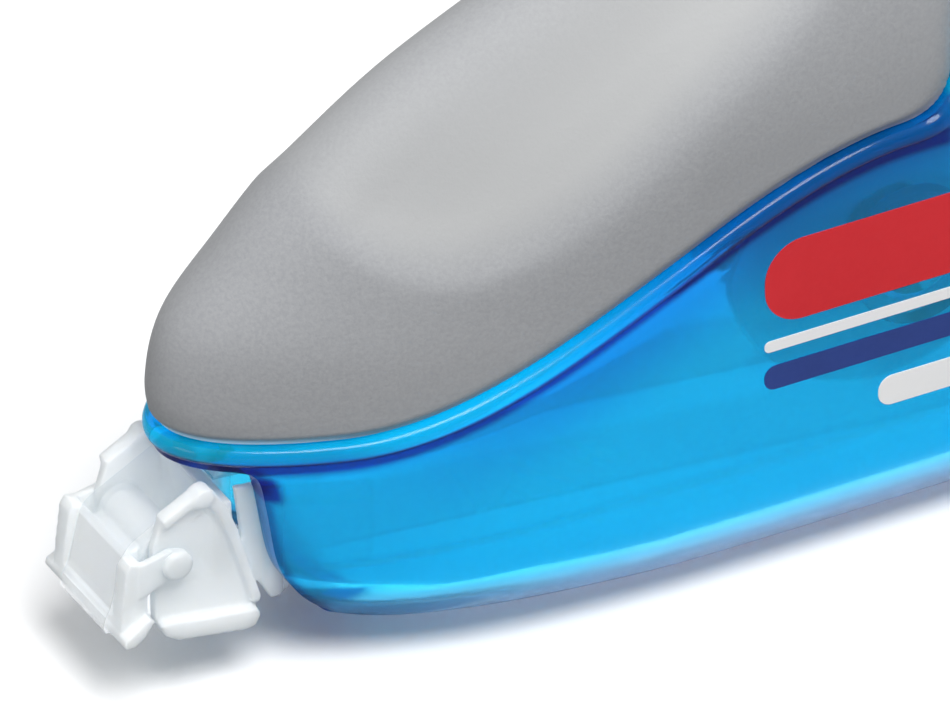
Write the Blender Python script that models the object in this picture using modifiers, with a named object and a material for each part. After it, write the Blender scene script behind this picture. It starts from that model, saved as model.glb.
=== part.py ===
# Correction tape dispenser: a two-half translucent case with a soft grip over its
# nose, a rocking applicator tip, and a geared pair of reels behind a slip clutch.
# Lengths are millimetres and MM turns them into metres where geometry is made.
# x runs from the nose to the tail, y across the case, z up from the belly. The
# design x starts at the nose of the case and is shifted so the part is centred.

import math

import bmesh
import bpy
import numpy as np

MM = 0.001
CLEAR = 0.3

# Gear train and reels
MODULE = 0.7
DRIVE_TEETH = 40
TAKEUP_TEETH = 18
BACKLASH = 0.3
PRESSURE_ANGLE = math.radians(20)
GEAR_T = 1.5
AXLE_R = 2.0
TAPE_W = 4.2
TAPE_T = 0.15
TAPE_LIFT = 0.2
REEL_SIDE_GAP = 0.2
FLANGE_T = 0.8
SUPPLY_CORE_R = 6.6
SUPPLY_CORE_WALL = 1.5
SUPPLY_ROLL_R = 12.2
ROLL_PROUD = 0.7
SUPPLY_WEB_T = 1.6
TAKEUP_CORE_R = 5.5
TAKEUP_FLANGE_R = 8.2
TAKEUP_HEX_R = 3.6
LINER_WOUND = 0.8
GEAR_HUB_R = 3.6
CLUTCH_RING_W = 1.6
SPRING_WIRE_R = 0.22
SPRING_TURNS = 3
WASHER_T = 0.4
WASHER_R = 4.0
LIGHTENING_HOLES = 6
LIGHTENING_R = 2.1

# Case
NOSE_TO_TAKEUP = 35.9
TAKEUP_Z = 14.4
HALF_W = 7.6
WALL = 1.2
TAIL_SHOULDER = 2.3
AXLE_DROP = 0.9
CREST_RISE = 0.6
BELLY_FLAT = 0.15
NOSE_TAPER = 24.0
TAIL_TAPER = 7.5
PANEL_LOW = 4.5
PANEL_HIGH = 24.6
EDGE_SHARPNESS = 0.6
RIM_Z = 12.3
RIM_R = 0.5
SEAM_RISE = 8.9
SEAM_START = 4.8
SEAM_RUN = 29.5
VISOR_T = 1.35

# Grip
GRIP_T = 1.2
GRIP_INSET = 0.15
GRIP_REAR = 36.5
GRIP_REAR_LEAN = 6.0
GRIP_CORNER = 2.0
SCOOP_DEPTH = 1.2
SCOOP_REACH = 6.8
SCOOP_FRONT = 6.5
SCOOP_LOW_X = 12.0
SCOOP_LOW_Z = 7.7
SCOOP_SLOPE = 0.8
SCOOP_SOFT = 0.5
CROWN_HALF = 3.8

# Applicator tip
BLADE_X = -3.95
BLADE_Z = 4.0
BLADE_W = 7.9
BLADE_LAND = 0.55
CHEEK_W = 6.6
CHANNEL_W = 4.7
HEAD_T = 1.55
HEAD_TOP_X = -3.25
HEAD_TOP_Z = 8.15
PIVOT_X = -0.95
PIVOT_Z = 7.5
LUG_R = 1.2
LUG_W = 4.0
PIN_R = 0.45
PIN_HEAD_R = 0.8
PIN_HEAD_T = 0.4
PLATE_T = 0.65
WING_FRONT_X = -1.95
WING_REAR_X = 3.45
WING_LOW_Z = 2.7
WING_TOP_Z = 11.0
WING_RIM_PROUD = 0.2
WING_BAR_PROUD = 0.42
KNOB_R = 0.5
LINER_OFF_X = 0.9
LINER_OFF_Z = 9.9
STEM_END_X = 9.5
GUIDE_BAR_X = 7.0
GUIDE_BAR_Z = 4.5
GUIDE_BAR_R = 0.45

# Feed roller
ROLLER_X = 45.5
ROLLER_Z = 3.75
ROLLER_R = 1.2
ROLLER_PEG_R = 0.6

# Snap pegs that join the case halves
SNAP_PEG_R = 0.9
SNAP_PEG_REACH = 1.8
SNAP_SOCKET_WALL = 0.8
SNAP_PLACES = ((42.5, 30.5), (20.0, 20.5))

# Values that follow from the sizes above
DRIVE_PITCH_R = MODULE * DRIVE_TEETH / 2
TAKEUP_PITCH_R = MODULE * TAKEUP_TEETH / 2
GEAR_CENTRES = DRIVE_PITCH_R + TAKEUP_PITCH_R
ADDENDUM = 0.95 * MODULE
DEDENDUM = 1.25 * MODULE
TAIL_R = DRIVE_PITCH_R + ADDENDUM + CLEAR + WALL + TAIL_SHOULDER
TRAIN_TILT = math.asin((TAIL_R - AXLE_DROP - TAKEUP_Z) / GEAR_CENTRES)
TAKEUP = (NOSE_TO_TAKEUP, TAKEUP_Z)
SUPPLY = (TAKEUP[0] + GEAR_CENTRES * math.cos(TRAIN_TILT), TAIL_R - AXLE_DROP)
TAIL_X = SUPPLY[0] + TAIL_R
CREST_Z = 2 * TAIL_R + CREST_RISE
SEAM_Z = RIM_Z + RIM_R
RECESS = GRIP_INSET + GRIP_T + CLEAR
REEL_HALF = TAPE_W / 2 + REEL_SIDE_GAP
GEAR_LOW = REEL_HALF + CLEAR
GEAR_HIGH = GEAR_LOW + GEAR_T
INNER_HALF = HALF_W - WALL
BORE_R = AXLE_R + CLEAR
TIP_FRONT = BLADE_X - TAPE_LIFT - TAPE_T
X_MID = (TIP_FRONT + TAIL_X) / 2
PLATE_IN = TAPE_W / 2 + 0.8 * CLEAR
PLATE_OUT = PLATE_IN + PLATE_T
LINER_R = TAKEUP_CORE_R + LINER_WOUND
SUPPLY_FLANGE_R = SUPPLY_ROLL_R - ROLL_PROUD
FLANGE_LOW = -REEL_HALF - FLANGE_T
OVERSIZE = TAIL_X


# Scene, collections and materials

def collection(name):
    group = bpy.data.collections.new(name)
    bpy.context.scene.collection.children.link(group)
    return group


def material(name, colour, roughness, metallic=0.0, alpha=1.0):
    mat = bpy.data.materials.new(name)
    mat.use_nodes = True
    shader = mat.node_tree.nodes["Principled BSDF"]
    shader.inputs["Base Color"].default_value = (*colour, 1.0)
    shader.inputs["Roughness"].default_value = roughness
    shader.inputs["Metallic"].default_value = metallic
    shader.inputs["Alpha"].default_value = alpha
    return mat


for old in list(bpy.data.objects):
    bpy.data.objects.remove(old, do_unlink=True)

PARTS = collection("correction_tape")
CUTTERS = collection("cutters")

BLUE = material("blue_translucent", (0.0, 0.36, 0.78), 0.2, alpha=0.6)
GREY = material("grip_rubber", (0.42, 0.43, 0.44), 0.8)
MILKY = material("milky_plastic", (0.80, 0.84, 0.86), 0.4, alpha=0.8)
WHITE = material("white_plastic", (0.85, 0.85, 0.85), 0.45)
TAPE = material("correction_film", (0.92, 0.92, 0.90), 0.6)
LINER = material("clear_liner", (0.78, 0.80, 0.82), 0.3, alpha=0.6)
RUBBER = material("clutch_rubber", (0.03, 0.03, 0.03), 0.8)
STEEL = material("spring_steel", (0.6, 0.6, 0.62), 0.3, metallic=1.0)


def place(x, y, z):
    return ((x - X_MID) * MM, y * MM, z * MM)


# Mesh helpers

def add_object(name, mesh, mat=None):
    obj = bpy.data.objects.new(name, mesh)
    if mat is None:
        CUTTERS.objects.link(obj)
        obj.hide_render = True
        obj.display_type = "WIRE"
    else:
        PARTS.objects.link(obj)
        mesh.materials.append(mat)
    return obj


def to_mesh_object(source, name, mat):
    # Bakes a curve or modifier object into a welded mesh at the same place.
    depsgraph = bpy.context.evaluated_depsgraph_get()
    mesh = bpy.data.meshes.new_from_object(source.evaluated_get(depsgraph))
    bm = bmesh.new()
    bm.from_mesh(mesh)
    bmesh.ops.remove_doubles(bm, verts=bm.verts, dist=0.001 * MM)
    bmesh.ops.recalc_face_normals(bm, faces=bm.faces)
    bm.to_mesh(mesh)
    bm.free()
    mesh.materials.clear()
    obj = add_object(name, mesh, mat)
    obj.matrix_world = source.matrix_world
    bpy.data.objects.remove(source, do_unlink=True)
    return obj


def boolean(obj, other, operation="DIFFERENCE", solver="EXACT"):
    mod = obj.modifiers.new(operation.lower() + "_" + other.name, "BOOLEAN")
    mod.operation = operation
    mod.object = other
    mod.solver = solver


def plate(name, outlines, low, high, mat=None, centre=(0.0, 0.0)):
    # Flat piece between two y planes; the first outline is the edge, others are holes.
    # The piece's origin sits at centre, on the axis it turns about if it turns.
    curve = bpy.data.curves.new(name, "CURVE")
    curve.dimensions = "2D"
    curve.fill_mode = "BOTH"
    curve.extrude = (high - low) / 2 * MM
    for points in outlines:
        spline = curve.splines.new("POLY")
        spline.points.add(len(points) - 1)
        for slot, (x, z) in zip(spline.points, points):
            slot.co = ((x - centre[0]) * MM, (z - centre[1]) * MM, 0.0, 1.0)
        spline.use_cyclic_u = True
    source = bpy.data.objects.new(name + "_curve", curve)
    CUTTERS.objects.link(source)
    source.rotation_euler = (math.pi / 2, 0.0, 0.0)
    source.location = place(centre[0], (low + high) / 2, centre[1])
    bpy.context.view_layer.update()
    return to_mesh_object(source, name, mat)


def circle(radius, count, centre=(0.0, 0.0), start=0.0):
    angles = start + np.arange(count) * 2 * math.pi / count
    return [(centre[0] + radius * math.cos(a), centre[1] + radius * math.sin(a)) for a in angles]


def cylinder(name, radius, low, high, centre, sides=24, mat=None):
    return plate(name, [circle(radius, sides, centre)], low, high, mat, centre)


def turned(name, profile, centre, steps, mat=None, closed=True):
    # Profile of (radius, y) points, outer side first from high y to low y. A ring's profile
    # closes on itself, and an open one ends on the axis, so the piece is solid through.
    mesh = bpy.data.meshes.new(name)
    verts = [(radius * MM, 0.0, y * MM) for radius, y in profile]
    edges = [(i, i + 1) for i in range(len(verts) - 1)]
    if closed:
        edges.append((len(verts) - 1, 0))
    mesh.from_pydata(verts, edges, [])
    source = bpy.data.objects.new(name + "_profile", mesh)
    CUTTERS.objects.link(source)
    screw = source.modifiers.new("spin", "SCREW")
    screw.axis = "Z"
    screw.steps = steps
    screw.render_steps = steps
    screw.use_merge_vertices = True
    screw.merge_threshold = 0.00001
    source.rotation_euler = (-math.pi / 2, 0.0, 0.0)
    source.location = place(centre[0], 0.0, centre[1])
    bpy.context.view_layer.update()
    obj = to_mesh_object(source, name, mat)
    obj.data.shade_smooth()
    return obj


def rod(name, points, radius, mat=None):
    # Round bar along a row of points, with flat ends.
    curve = bpy.data.curves.new(name, "CURVE")
    curve.dimensions = "3D"
    curve.bevel_depth = radius * MM
    curve.bevel_resolution = 1
    curve.use_fill_caps = True
    spline = curve.splines.new("POLY")
    spline.points.add(len(points) - 1)
    for slot, point in zip(spline.points, points):
        slot.co = (*place(*point), 1.0)
    source = bpy.data.objects.new(name + "_curve", curve)
    CUTTERS.objects.link(source)
    bpy.context.view_layer.update()
    return to_mesh_object(source, name, mat)


# The case form: nested rings carried from the mid-plane outline to flat side panels

def smoothstep(t):
    t = np.clip(t, 0.0, 1.0)
    return t * t * (3 - 2 * t)


def seam_height(x):
    return SEAM_Z + SEAM_RISE * smoothstep((np.asarray(x, float) - SEAM_START) / SEAM_RUN)


def outline_stations():
    nose = [
        (-0.2, RIM_Z), (-0.55, RIM_Z + 2.6), (0.25, RIM_Z + 5.7), (2.8, RIM_Z + 8.6),
        (6.2, RIM_Z + 11.9), (11.6, RIM_Z + 15.8), (19.0, RIM_Z + 19.3),
        (27.5, RIM_Z + 23.0), (TAKEUP[0] + 3.0, CREST_Z),
    ]
    tail = [
        (SUPPLY[0] + TAIL_R * math.cos(a), TAIL_R + TAIL_R * math.sin(a))
        for a in np.radians(np.arange(78, -80, -26))
    ]
    belly = [
        (SUPPLY[0], -BELLY_FLAT), (SUPPLY[0] - 14.0, -BELLY_FLAT), (NOSE_TAPER + 2.0, -BELLY_FLAT),
        (17.0, 0.3), (10.5, 1.0), (6.2, 2.0), (2.6, 4.2), (0.4, 8.4),
    ]
    return np.array(nose + tail + belly)


def closed_spline(points, share):
    # Catmull-Rom curve through closed points at parameters share in stations.
    count = len(points)
    index = np.floor(share).astype(int)
    f = (share - index)[:, None]
    p0, p1, p2, p3 = (points[(index + k) % count] for k in (-1, 0, 1, 2))
    return 0.5 * (
        2 * p1 + (p2 - p0) * f + (2 * p0 - 5 * p1 + 4 * p2 - p3) * f**2
        + (3 * p1 - p0 - 3 * p2 + p3) * f**3
    )


def form_rings(depth, around, across):
    # Rings of (x, y, z) from the near panel to the far panel, set in by depth.
    stations = outline_stations()
    share = np.arange(around) * len(stations) / around
    outer = closed_spline(stations, share)
    tangent = np.roll(outer, -1, axis=0) - np.roll(outer, 1, axis=0)
    tangent /= np.linalg.norm(tangent, axis=1)[:, None]
    inward = np.stack([tangent[:, 1], -tangent[:, 0]], axis=1)
    edge = outer + inward * depth
    height = outer[:, 1] / CREST_Z
    panel = np.stack([
        np.clip(outer[:, 0], NOSE_TAPER, TAIL_X - TAIL_TAPER),
        PANEL_LOW + (PANEL_HIGH - PANEL_LOW) * np.clip(height, 0.0, 1.0),
    ], axis=1)
    power = 2 / (2 + EDGE_SHARPNESS * np.exp(-((outer[:, 1] / PANEL_LOW) ** 2)))
    rings = []
    for turn in np.linspace(-math.pi / 2, math.pi / 2, 2 * across + 1):
        inset = 1 - np.abs(math.cos(turn)) ** power
        if abs(turn) > math.pi / 2 - 1e-6:
            inset = np.ones(around)
        flat = edge + (panel - edge) * inset[:, None]
        y = math.copysign(1.0, turn) * (HALF_W - depth) * abs(math.sin(turn)) ** power
        z = np.maximum(flat[:, 1], depth)
        rings.append(np.stack([flat[:, 0], y, z], axis=1))
    return rings


def half_width(x, z, depth):
    # Half width of the form at a place in side view: the last ring that surrounds it.
    width = 0.0
    for ring in form_rings(depth, 96, 40)[40:]:
        rx, ry, rz = ring.T
        nx, nz = np.roll(rx, -1), np.roll(rz, -1)
        spans = (rz > z) != (nz > z)
        cross = rx[spans] + (z - rz[spans]) * (nx[spans] - rx[spans]) / (nz[spans] - rz[spans])
        if np.count_nonzero(cross > x) % 2:
            width = ry.mean()
    return width


def scoop_depth(x, y, z):
    # Finger rest: from its lower edge it sinks like t e^(1 - t) with the height t above that edge,
    # and it fades out towards the nose, the rear and the ridge of the crown.
    lead = np.clip((SCOOP_LOW_X - x) / (SCOOP_LOW_X - SCOOP_FRONT), 0.0, None)
    trail = np.clip(x - SCOOP_LOW_X, 0.0, None)
    edge = RIM_Z + SCOOP_LOW_Z + 3.8 * lead**2 + SCOOP_SLOPE * trail**2 / (trail + 9.0)
    height = np.logaddexp(0.0, (z - edge) / SCOOP_SOFT) * SCOOP_SOFT / SCOOP_REACH
    fade = 1 - smoothstep((x - GRIP_REAR + 7.5) / 8.0)
    fade *= smoothstep((x - SCOOP_FRONT + 2.7) / 3.4)
    fade *= smoothstep((np.abs(y) / CROWN_HALF - 0.16) / 0.84)
    return SCOOP_DEPTH * height * np.exp(1 - height) * fade


def case_form(name, depth, around=60, across=6, scoop=False, mat=None):
    rings = form_rings(depth, around, across)
    bm = bmesh.new()
    loops = [[bm.verts.new(place(*point)) for point in ring] for ring in rings]
    for first, second in zip(loops, loops[1:]):
        for i in range(around):
            j = (i + 1) % around
            bm.faces.new((first[i], first[j], second[j], second[i]))
    bm.faces.new(loops[0])
    bm.faces.new(list(reversed(loops[-1])))
    bmesh.ops.recalc_face_normals(bm, faces=bm.faces)
    bm.normal_update()
    if scoop:
        for loop, ring in zip(loops, rings):
            sink = scoop_depth(ring[:, 0], ring[:, 1], ring[:, 2])
            for vert, amount in zip(loop, sink):
                vert.co -= vert.normal * float(amount) * MM
    mesh = bpy.data.meshes.new(name)
    bm.to_mesh(mesh)
    bm.free()
    mesh.shade_smooth()
    return add_object(name, mesh, mat)


def rim_path(steps=9):
    # Points on the case skin just under the seam, round the nose from side to side.
    stations = outline_stations()
    around = 40 * len(stations)
    side = []
    for ring in form_rings(RIM_R * 0.3, around, steps)[steps:]:
        upper = np.concatenate([ring[-3 * 40:], ring[:8 * 40]])
        over = upper[:, 2] > seam_height(upper[:, 0]) - RIM_R
        side.append(upper[np.argmax(over)])
    side = np.array(side)
    run = np.linspace(side[-1][0], GRIP_REAR, 5)[1:]
    rest = np.stack([run, np.full(len(run), side[-1][1]), seam_height(run) - RIM_R], axis=1)
    near = np.concatenate([side, rest])
    far = near[1:] * np.array([1.0, -1.0, 1.0])
    return np.concatenate([far[::-1], near])


def grip_zone(name, margin):
    # Prism over everything above the seam and ahead of the grip's rear edge.
    rear_x = GRIP_REAR + margin
    low_z = float(seam_height(rear_x)) - margin
    lower = [(x, seam_height(x) - margin) for x in np.linspace(-6.0, rear_x - GRIP_CORNER, 24)]
    rise = np.linspace(GRIP_CORNER / (CREST_Z + 6.0 - low_z), 1.0, 8)
    rear = [(rear_x + GRIP_REAR_LEAN * t**2, low_z + (CREST_Z + 6.0 - low_z) * t) for t in rise]
    for t in (0.25, 0.5, 0.75):
        start, end = lower[23], rear[0]
        lower.append(tuple(
            (1 - t) ** 2 * a + 2 * t * (1 - t) * c + t**2 * b
            for a, b, c in zip(start, end, (rear_x, low_z))))
    outline = lower + rear + [(-6.0, CREST_Z + 6.0)]
    return plate(name, [outline], -HALF_W - 4.0, HALF_W + 4.0)


def half_space(name, side):
    low, high = sorted((-side * CLEAR / 2, side * OVERSIZE))
    far = OVERSIZE * 2
    box = [(-far, -far), (far, -far), (far, far), (-far, far)]
    return plate(name, [box], low, high)


def mouth_cutter():
    # Everything under the nose visor and ahead of the slanting mouth edge.
    visor = RIM_Z - VISOR_T + RIM_R
    edge = [
        (2.2, visor), (2.8, visor - 0.2), (3.1, visor - 0.7), (3.4, visor - 2.3),
        (4.0, visor - 5.2), (4.7, visor - 6.7), (5.6, visor - 7.8), (6.9, visor - 8.8),
        (7.2, -4.0),
    ]
    outline = [(-6.0, visor)] + edge + [(-6.0, -4.0)]
    return plate("mouth", [outline], -HALF_W - 4.0, HALF_W + 4.0)


def tip_pocket():
    half = PLATE_OUT + CLEAR
    low = GUIDE_BAR_Z - GUIDE_BAR_R - CLEAR
    high = LINER_OFF_Z + 2 * CLEAR
    end = STEM_END_X + CLEAR
    return plate("tip_pocket", [[(1.0, low), (end, low), (end, high), (1.0, high)]], -half, half)


def make_case():
    zone_wide = grip_zone("grip_zone_wide", WALL + CLEAR)
    recess = grip_zone("grip_recess", 0.0)
    boolean(recess, case_form("recess_floor", RECESS, scoop=True), solver="MANIFOLD")
    cavity = case_form("cavity", WALL, around=48, across=5)
    boolean(cavity, zone_wide, solver="MANIFOLD")
    deep_cavity = case_form("deep_cavity", RECESS + WALL, around=40, across=4, scoop=True)
    rim = rod("rim", rim_path(), RIM_R)
    mouth = mouth_cutter()
    pocket = tip_pocket()
    for name, side in (("case_left", -1), ("case_right", 1)):
        case = case_form(name, 0.0, mat=BLUE)
        steps = [(rim, "UNION"), (recess, "DIFFERENCE")]
        steps += [(cavity, "DIFFERENCE"), (deep_cavity, "DIFFERENCE")]
        steps += case_fittings(name, side)
        steps += [(half_space(name + "_other_half", -side), "DIFFERENCE")]
        steps += [(mouth, "DIFFERENCE"), (pocket, "DIFFERENCE")]
        for other, operation in steps:
            boolean(case, other, operation, "MANIFOLD")


def case_fittings(name, side):
    # Axle pegs and snap pegs grow from the right half, their sockets from the left half.
    peg_end = FLANGE_LOW - WASHER_T - 4 * CLEAR - 1.2
    fittings = []

    def grow(label, radius, end, centre, operation="UNION", sides=20):
        under_grip = centre[0] < GRIP_REAR and centre[1] > seam_height(centre[0])
        skin = (RECESS if under_grip else 0.0) + WALL / 2
        room = min(half_width(x, z, skin) for x, z in circle(radius, 6, centre))
        low, high = sorted((side * room, end))
        fittings.append((cylinder(f"{name}_{label}", radius, low, high, centre, sides), operation))

    for label, centre in (("supply", SUPPLY), ("takeup", TAKEUP)):
        if side > 0:
            grow(label + "_shoulder", BORE_R + 1.0, GEAR_HIGH + CLEAR, centre)
            grow(label + "_axle", AXLE_R, peg_end, centre)
        else:
            grow(label + "_socket", BORE_R + 1.0, peg_end + 0.9, centre)
            grow(label + "_bore", BORE_R, peg_end + 2.0, centre, "DIFFERENCE")
    for number, centre in enumerate(SNAP_PLACES):
        socket_r = SNAP_PEG_R + CLEAR + SNAP_SOCKET_WALL
        if side > 0:
            grow(f"snap_post_{number}", socket_r, CLEAR, centre, sides=16)
            grow(f"snap_peg_{number}", SNAP_PEG_R, -SNAP_PEG_REACH, centre, sides=16)
        else:
            grow(f"snap_socket_{number}", socket_r, 0.0, centre, sides=16)
            grow(f"snap_bore_{number}", SNAP_PEG_R + CLEAR, 1.0, centre, "DIFFERENCE", 16)
    if side > 0:
        grow("roller_peg", ROLLER_PEG_R, -REEL_HALF - CLEAR, (ROLLER_X, ROLLER_Z), sides=12)
    return fittings


def make_grip():
    grip = case_form("soft_grip", GRIP_INSET, around=72, across=8, scoop=True, mat=GREY)
    boolean(grip, grip_zone("grip_extent", -CLEAR), "INTERSECT", "MANIFOLD")
    boolean(grip, case_form("grip_inside", GRIP_INSET + GRIP_T, scoop=True), solver="MANIFOLD")


# Gears and reels

def gear_outline(teeth, centre, phase):
    # Involute teeth: each flank runs from the root through the pitch circle to the tip.
    pitch = MODULE * teeth / 2
    base = pitch * math.cos(PRESSURE_ANGLE)
    half_tooth = math.pi / (2 * teeth) - BACKLASH / (4 * pitch)
    pitch_roll = math.tan(PRESSURE_ANGLE) - PRESSURE_ANGLE

    def half_angle(radius):
        roll = math.sqrt(max((radius / base) ** 2 - 1, 0.0))
        return half_tooth + pitch_roll - (roll - math.atan(roll))

    radii = (pitch - DEDENDUM, pitch, pitch + ADDENDUM)
    points = []
    for tooth in range(teeth):
        middle = phase + tooth * 2 * math.pi / teeth
        flank = [(r, half_angle(r)) for r in radii]
        turn = [(r, middle - a) for r, a in flank] + [(r, middle + a) for r, a in reversed(flank)]
        points += [(centre[0] + r * math.cos(a), centre[1] + r * math.sin(a)) for r, a in turn]
    return points


def make_supply():
    lightening_at = (GEAR_HUB_R + DRIVE_PITCH_R - DEDENDUM) / 2
    holes = [
        circle(LIGHTENING_R, 12, (
            SUPPLY[0] + lightening_at * math.cos(a), SUPPLY[1] + lightening_at * math.sin(a)))
        for a in np.arange(LIGHTENING_HOLES) * 2 * math.pi / LIGHTENING_HOLES
    ]
    teeth = gear_outline(DRIVE_TEETH, SUPPLY, TRAIN_TILT + math.pi)
    gear = plate("drive_gear", [teeth] + holes, GEAR_LOW, GEAR_HIGH, WHITE, SUPPLY)
    hub_low = -REEL_HALF + SUPPLY_WEB_T - FLANGE_T + CLEAR
    boolean(gear, cylinder("gear_hub", GEAR_HUB_R, hub_low, GEAR_HIGH, SUPPLY), "UNION")
    boolean(gear, cylinder("gear_bore", BORE_R, -OVERSIZE, OVERSIZE, SUPPLY))

    inner = SUPPLY_CORE_R - SUPPLY_CORE_WALL
    web_top = FLANGE_LOW + SUPPLY_WEB_T
    turned("supply_spool", [
        (SUPPLY_CORE_R, REEL_HALF), (SUPPLY_CORE_R, -REEL_HALF), (SUPPLY_FLANGE_R, -REEL_HALF),
        (SUPPLY_FLANGE_R, FLANGE_LOW), (BORE_R, FLANGE_LOW), (BORE_R, web_top),
        (inner, web_top), (inner, REEL_HALF),
    ], SUPPLY, 32, WHITE)
    half_tape = TAPE_W / 2
    turned("supply_tape_roll", [
        (SUPPLY_ROLL_R, half_tape), (SUPPLY_ROLL_R, -half_tape),
        (SUPPLY_CORE_R + CLEAR, -half_tape), (SUPPLY_CORE_R + CLEAR, half_tape),
    ], SUPPLY, 40, TAPE)
    ring_mid = (GEAR_HUB_R + inner) / 2
    ring_r = (inner - GEAR_HUB_R) / 2 - CLEAR
    section = [
        (ring_mid + ring_r * math.cos(a), CLUTCH_RING_W / 2 * math.sin(a))
        for a in np.radians(np.arange(90, -270, -45))
    ]
    turned("clutch_ring", section, SUPPLY, 24, RUBBER)
    washer_high = FLANGE_LOW - CLEAR
    washer_low = washer_high - WASHER_T
    turned("clutch_washer", [
        (WASHER_R, washer_high), (WASHER_R, washer_low), (BORE_R, washer_low), (BORE_R, washer_high),
    ], SUPPLY, 24, STEEL)
    make_spring(washer_low - CLEAR)


def make_spring(top):
    # Compression coil between the washer and the left half's panel, round the socket.
    mean_r = BORE_R + 1.0 + CLEAR + SPRING_WIRE_R
    bottom = -INNER_HALF + CLEAR
    turn = np.linspace(0.0, 1.0, SPRING_TURNS * 14 + 1)
    angle = 2 * math.pi * SPRING_TURNS * turn
    y = top - SPRING_WIRE_R + (bottom - top + 2 * SPRING_WIRE_R) * turn
    coil = np.stack([SUPPLY[0] + mean_r * np.cos(angle), y, SUPPLY[1] + mean_r * np.sin(angle)], axis=1)
    rod("clutch_spring", coil.tolist(), SPRING_WIRE_R, STEEL)


def make_takeup():
    turned_core = [
        (TAKEUP_CORE_R, REEL_HALF), (TAKEUP_CORE_R, -REEL_HALF), (TAKEUP_FLANGE_R, -REEL_HALF),
        (TAKEUP_FLANGE_R, FLANGE_LOW), (BORE_R, FLANGE_LOW), (BORE_R, REEL_HALF),
    ]
    spool = turned("takeup_spool", turned_core, TAKEUP, 28, WHITE)
    hexagon = circle(TAKEUP_HEX_R, 6, TAKEUP)
    bore = circle(BORE_R, 28, TAKEUP)
    hub = plate("takeup_hex", [hexagon, bore], REEL_HALF - CLEAR, GEAR_HIGH, None, TAKEUP)
    boolean(spool, hub, "UNION")
    phase = TRAIN_TILT + math.pi / TAKEUP_TEETH
    teeth = gear_outline(TAKEUP_TEETH, TAKEUP, phase)
    hex_bore = circle(TAKEUP_HEX_R + CLEAR / math.cos(math.pi / 6), 6, TAKEUP)
    plate("takeup_gear", [teeth, hex_bore], GEAR_LOW, GEAR_HIGH, WHITE, TAKEUP)
    half_tape = TAPE_W / 2
    turned("liner_roll", [
        (LINER_R, half_tape), (LINER_R, -half_tape),
        (TAKEUP_CORE_R + CLEAR, -half_tape), (TAKEUP_CORE_R + CLEAR, half_tape),
    ], TAKEUP, 28, LINER)


def make_roller():
    half = TAPE_W / 2
    turned("feed_roller", [
        (ROLLER_R, half), (ROLLER_R, -half),
        (ROLLER_PEG_R + CLEAR, -half), (ROLLER_PEG_R + CLEAR, half),
    ], (ROLLER_X, ROLLER_Z), 16, WHITE)


# Applicator tip

def cheek_outline():
    # Side view of the upright block behind the blade: front, rounded top and back.
    back = BLADE_X + HEAD_T
    return [
        (BLADE_X + 0.1, BLADE_Z + 0.3), (BLADE_X + 0.22, BLADE_Z + 1.9),
        (HEAD_TOP_X - 0.25, HEAD_TOP_Z - 0.35), (HEAD_TOP_X, HEAD_TOP_Z),
        (HEAD_TOP_X + 0.5, HEAD_TOP_Z - 0.1), (back, HEAD_TOP_Z - 1.1),
        (back, BLADE_Z + 1.0), (BLADE_X + 0.65, BLADE_Z + 0.2),
    ]


def foot_outline():
    # Side view of the blade itself, a slanting foot wider than the block above it.
    back = BLADE_X + HEAD_T
    return [
        (BLADE_X, BLADE_Z + 0.2), (BLADE_X + 0.05, BLADE_Z + 0.5), (BLADE_X + 0.45, BLADE_Z + 0.7),
        (back - 0.2, BLADE_Z + 1.35), (back + 0.05, BLADE_Z + 1.15), (back - 0.45, BLADE_Z + 0.45),
        (BLADE_X + BLADE_LAND, BLADE_Z), (BLADE_X + 0.12, BLADE_Z),
    ]


def channel_outline():
    # What the tape channel takes out of the block, in front of its floor and over its top.
    far_x = BLADE_X - 2.0
    far_z = HEAD_TOP_Z + 2.0
    return [
        (far_x, BLADE_Z + 1.0), (BLADE_X + 0.25, BLADE_Z + 1.0), (BLADE_X + 0.5, BLADE_Z + 1.25),
        (HEAD_TOP_X + 0.2, HEAD_TOP_Z - 0.25), (HEAD_TOP_X + 0.9, HEAD_TOP_Z + 0.45),
        (HEAD_TOP_X + 0.9, far_z), (far_x, far_z),
    ]


def make_head():
    pivot = (PIVOT_X, PIVOT_Z)
    root = BLADE_X + 0.7 * HEAD_T
    web = [
        (root, BLADE_Z + 1.6), (PIVOT_X, PIVOT_Z - 0.75 * LUG_R),
        (PIVOT_X, PIVOT_Z + 0.6 * LUG_R), (root, HEAD_TOP_Z - 0.55),
    ]
    head = plate("tip_head", [cheek_outline()], -CHEEK_W / 2, CHEEK_W / 2, MILKY, pivot)
    boolean(head, plate("tape_channel", [channel_outline()], -CHANNEL_W / 2, CHANNEL_W / 2))
    boolean(head, plate("head_foot", [foot_outline()], -BLADE_W / 2, BLADE_W / 2), "UNION")
    boolean(head, plate("head_web", [web], -0.45 * LUG_W, 0.45 * LUG_W), "UNION")
    boolean(head, cylinder("head_lug", LUG_R, -LUG_W / 2, LUG_W / 2, pivot), "UNION")
    boolean(head, cylinder("head_pin_hole", PIN_R + CLEAR, -OVERSIZE, OVERSIZE, pivot))


def on_wing(shares):
    # Points given as shares of the length and the height of a guard wing.
    length = WING_REAR_X - WING_FRONT_X
    height = WING_TOP_Z - WING_LOW_Z
    return [(WING_FRONT_X + u * length, WING_LOW_Z + w * height) for u, w in shares]


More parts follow.
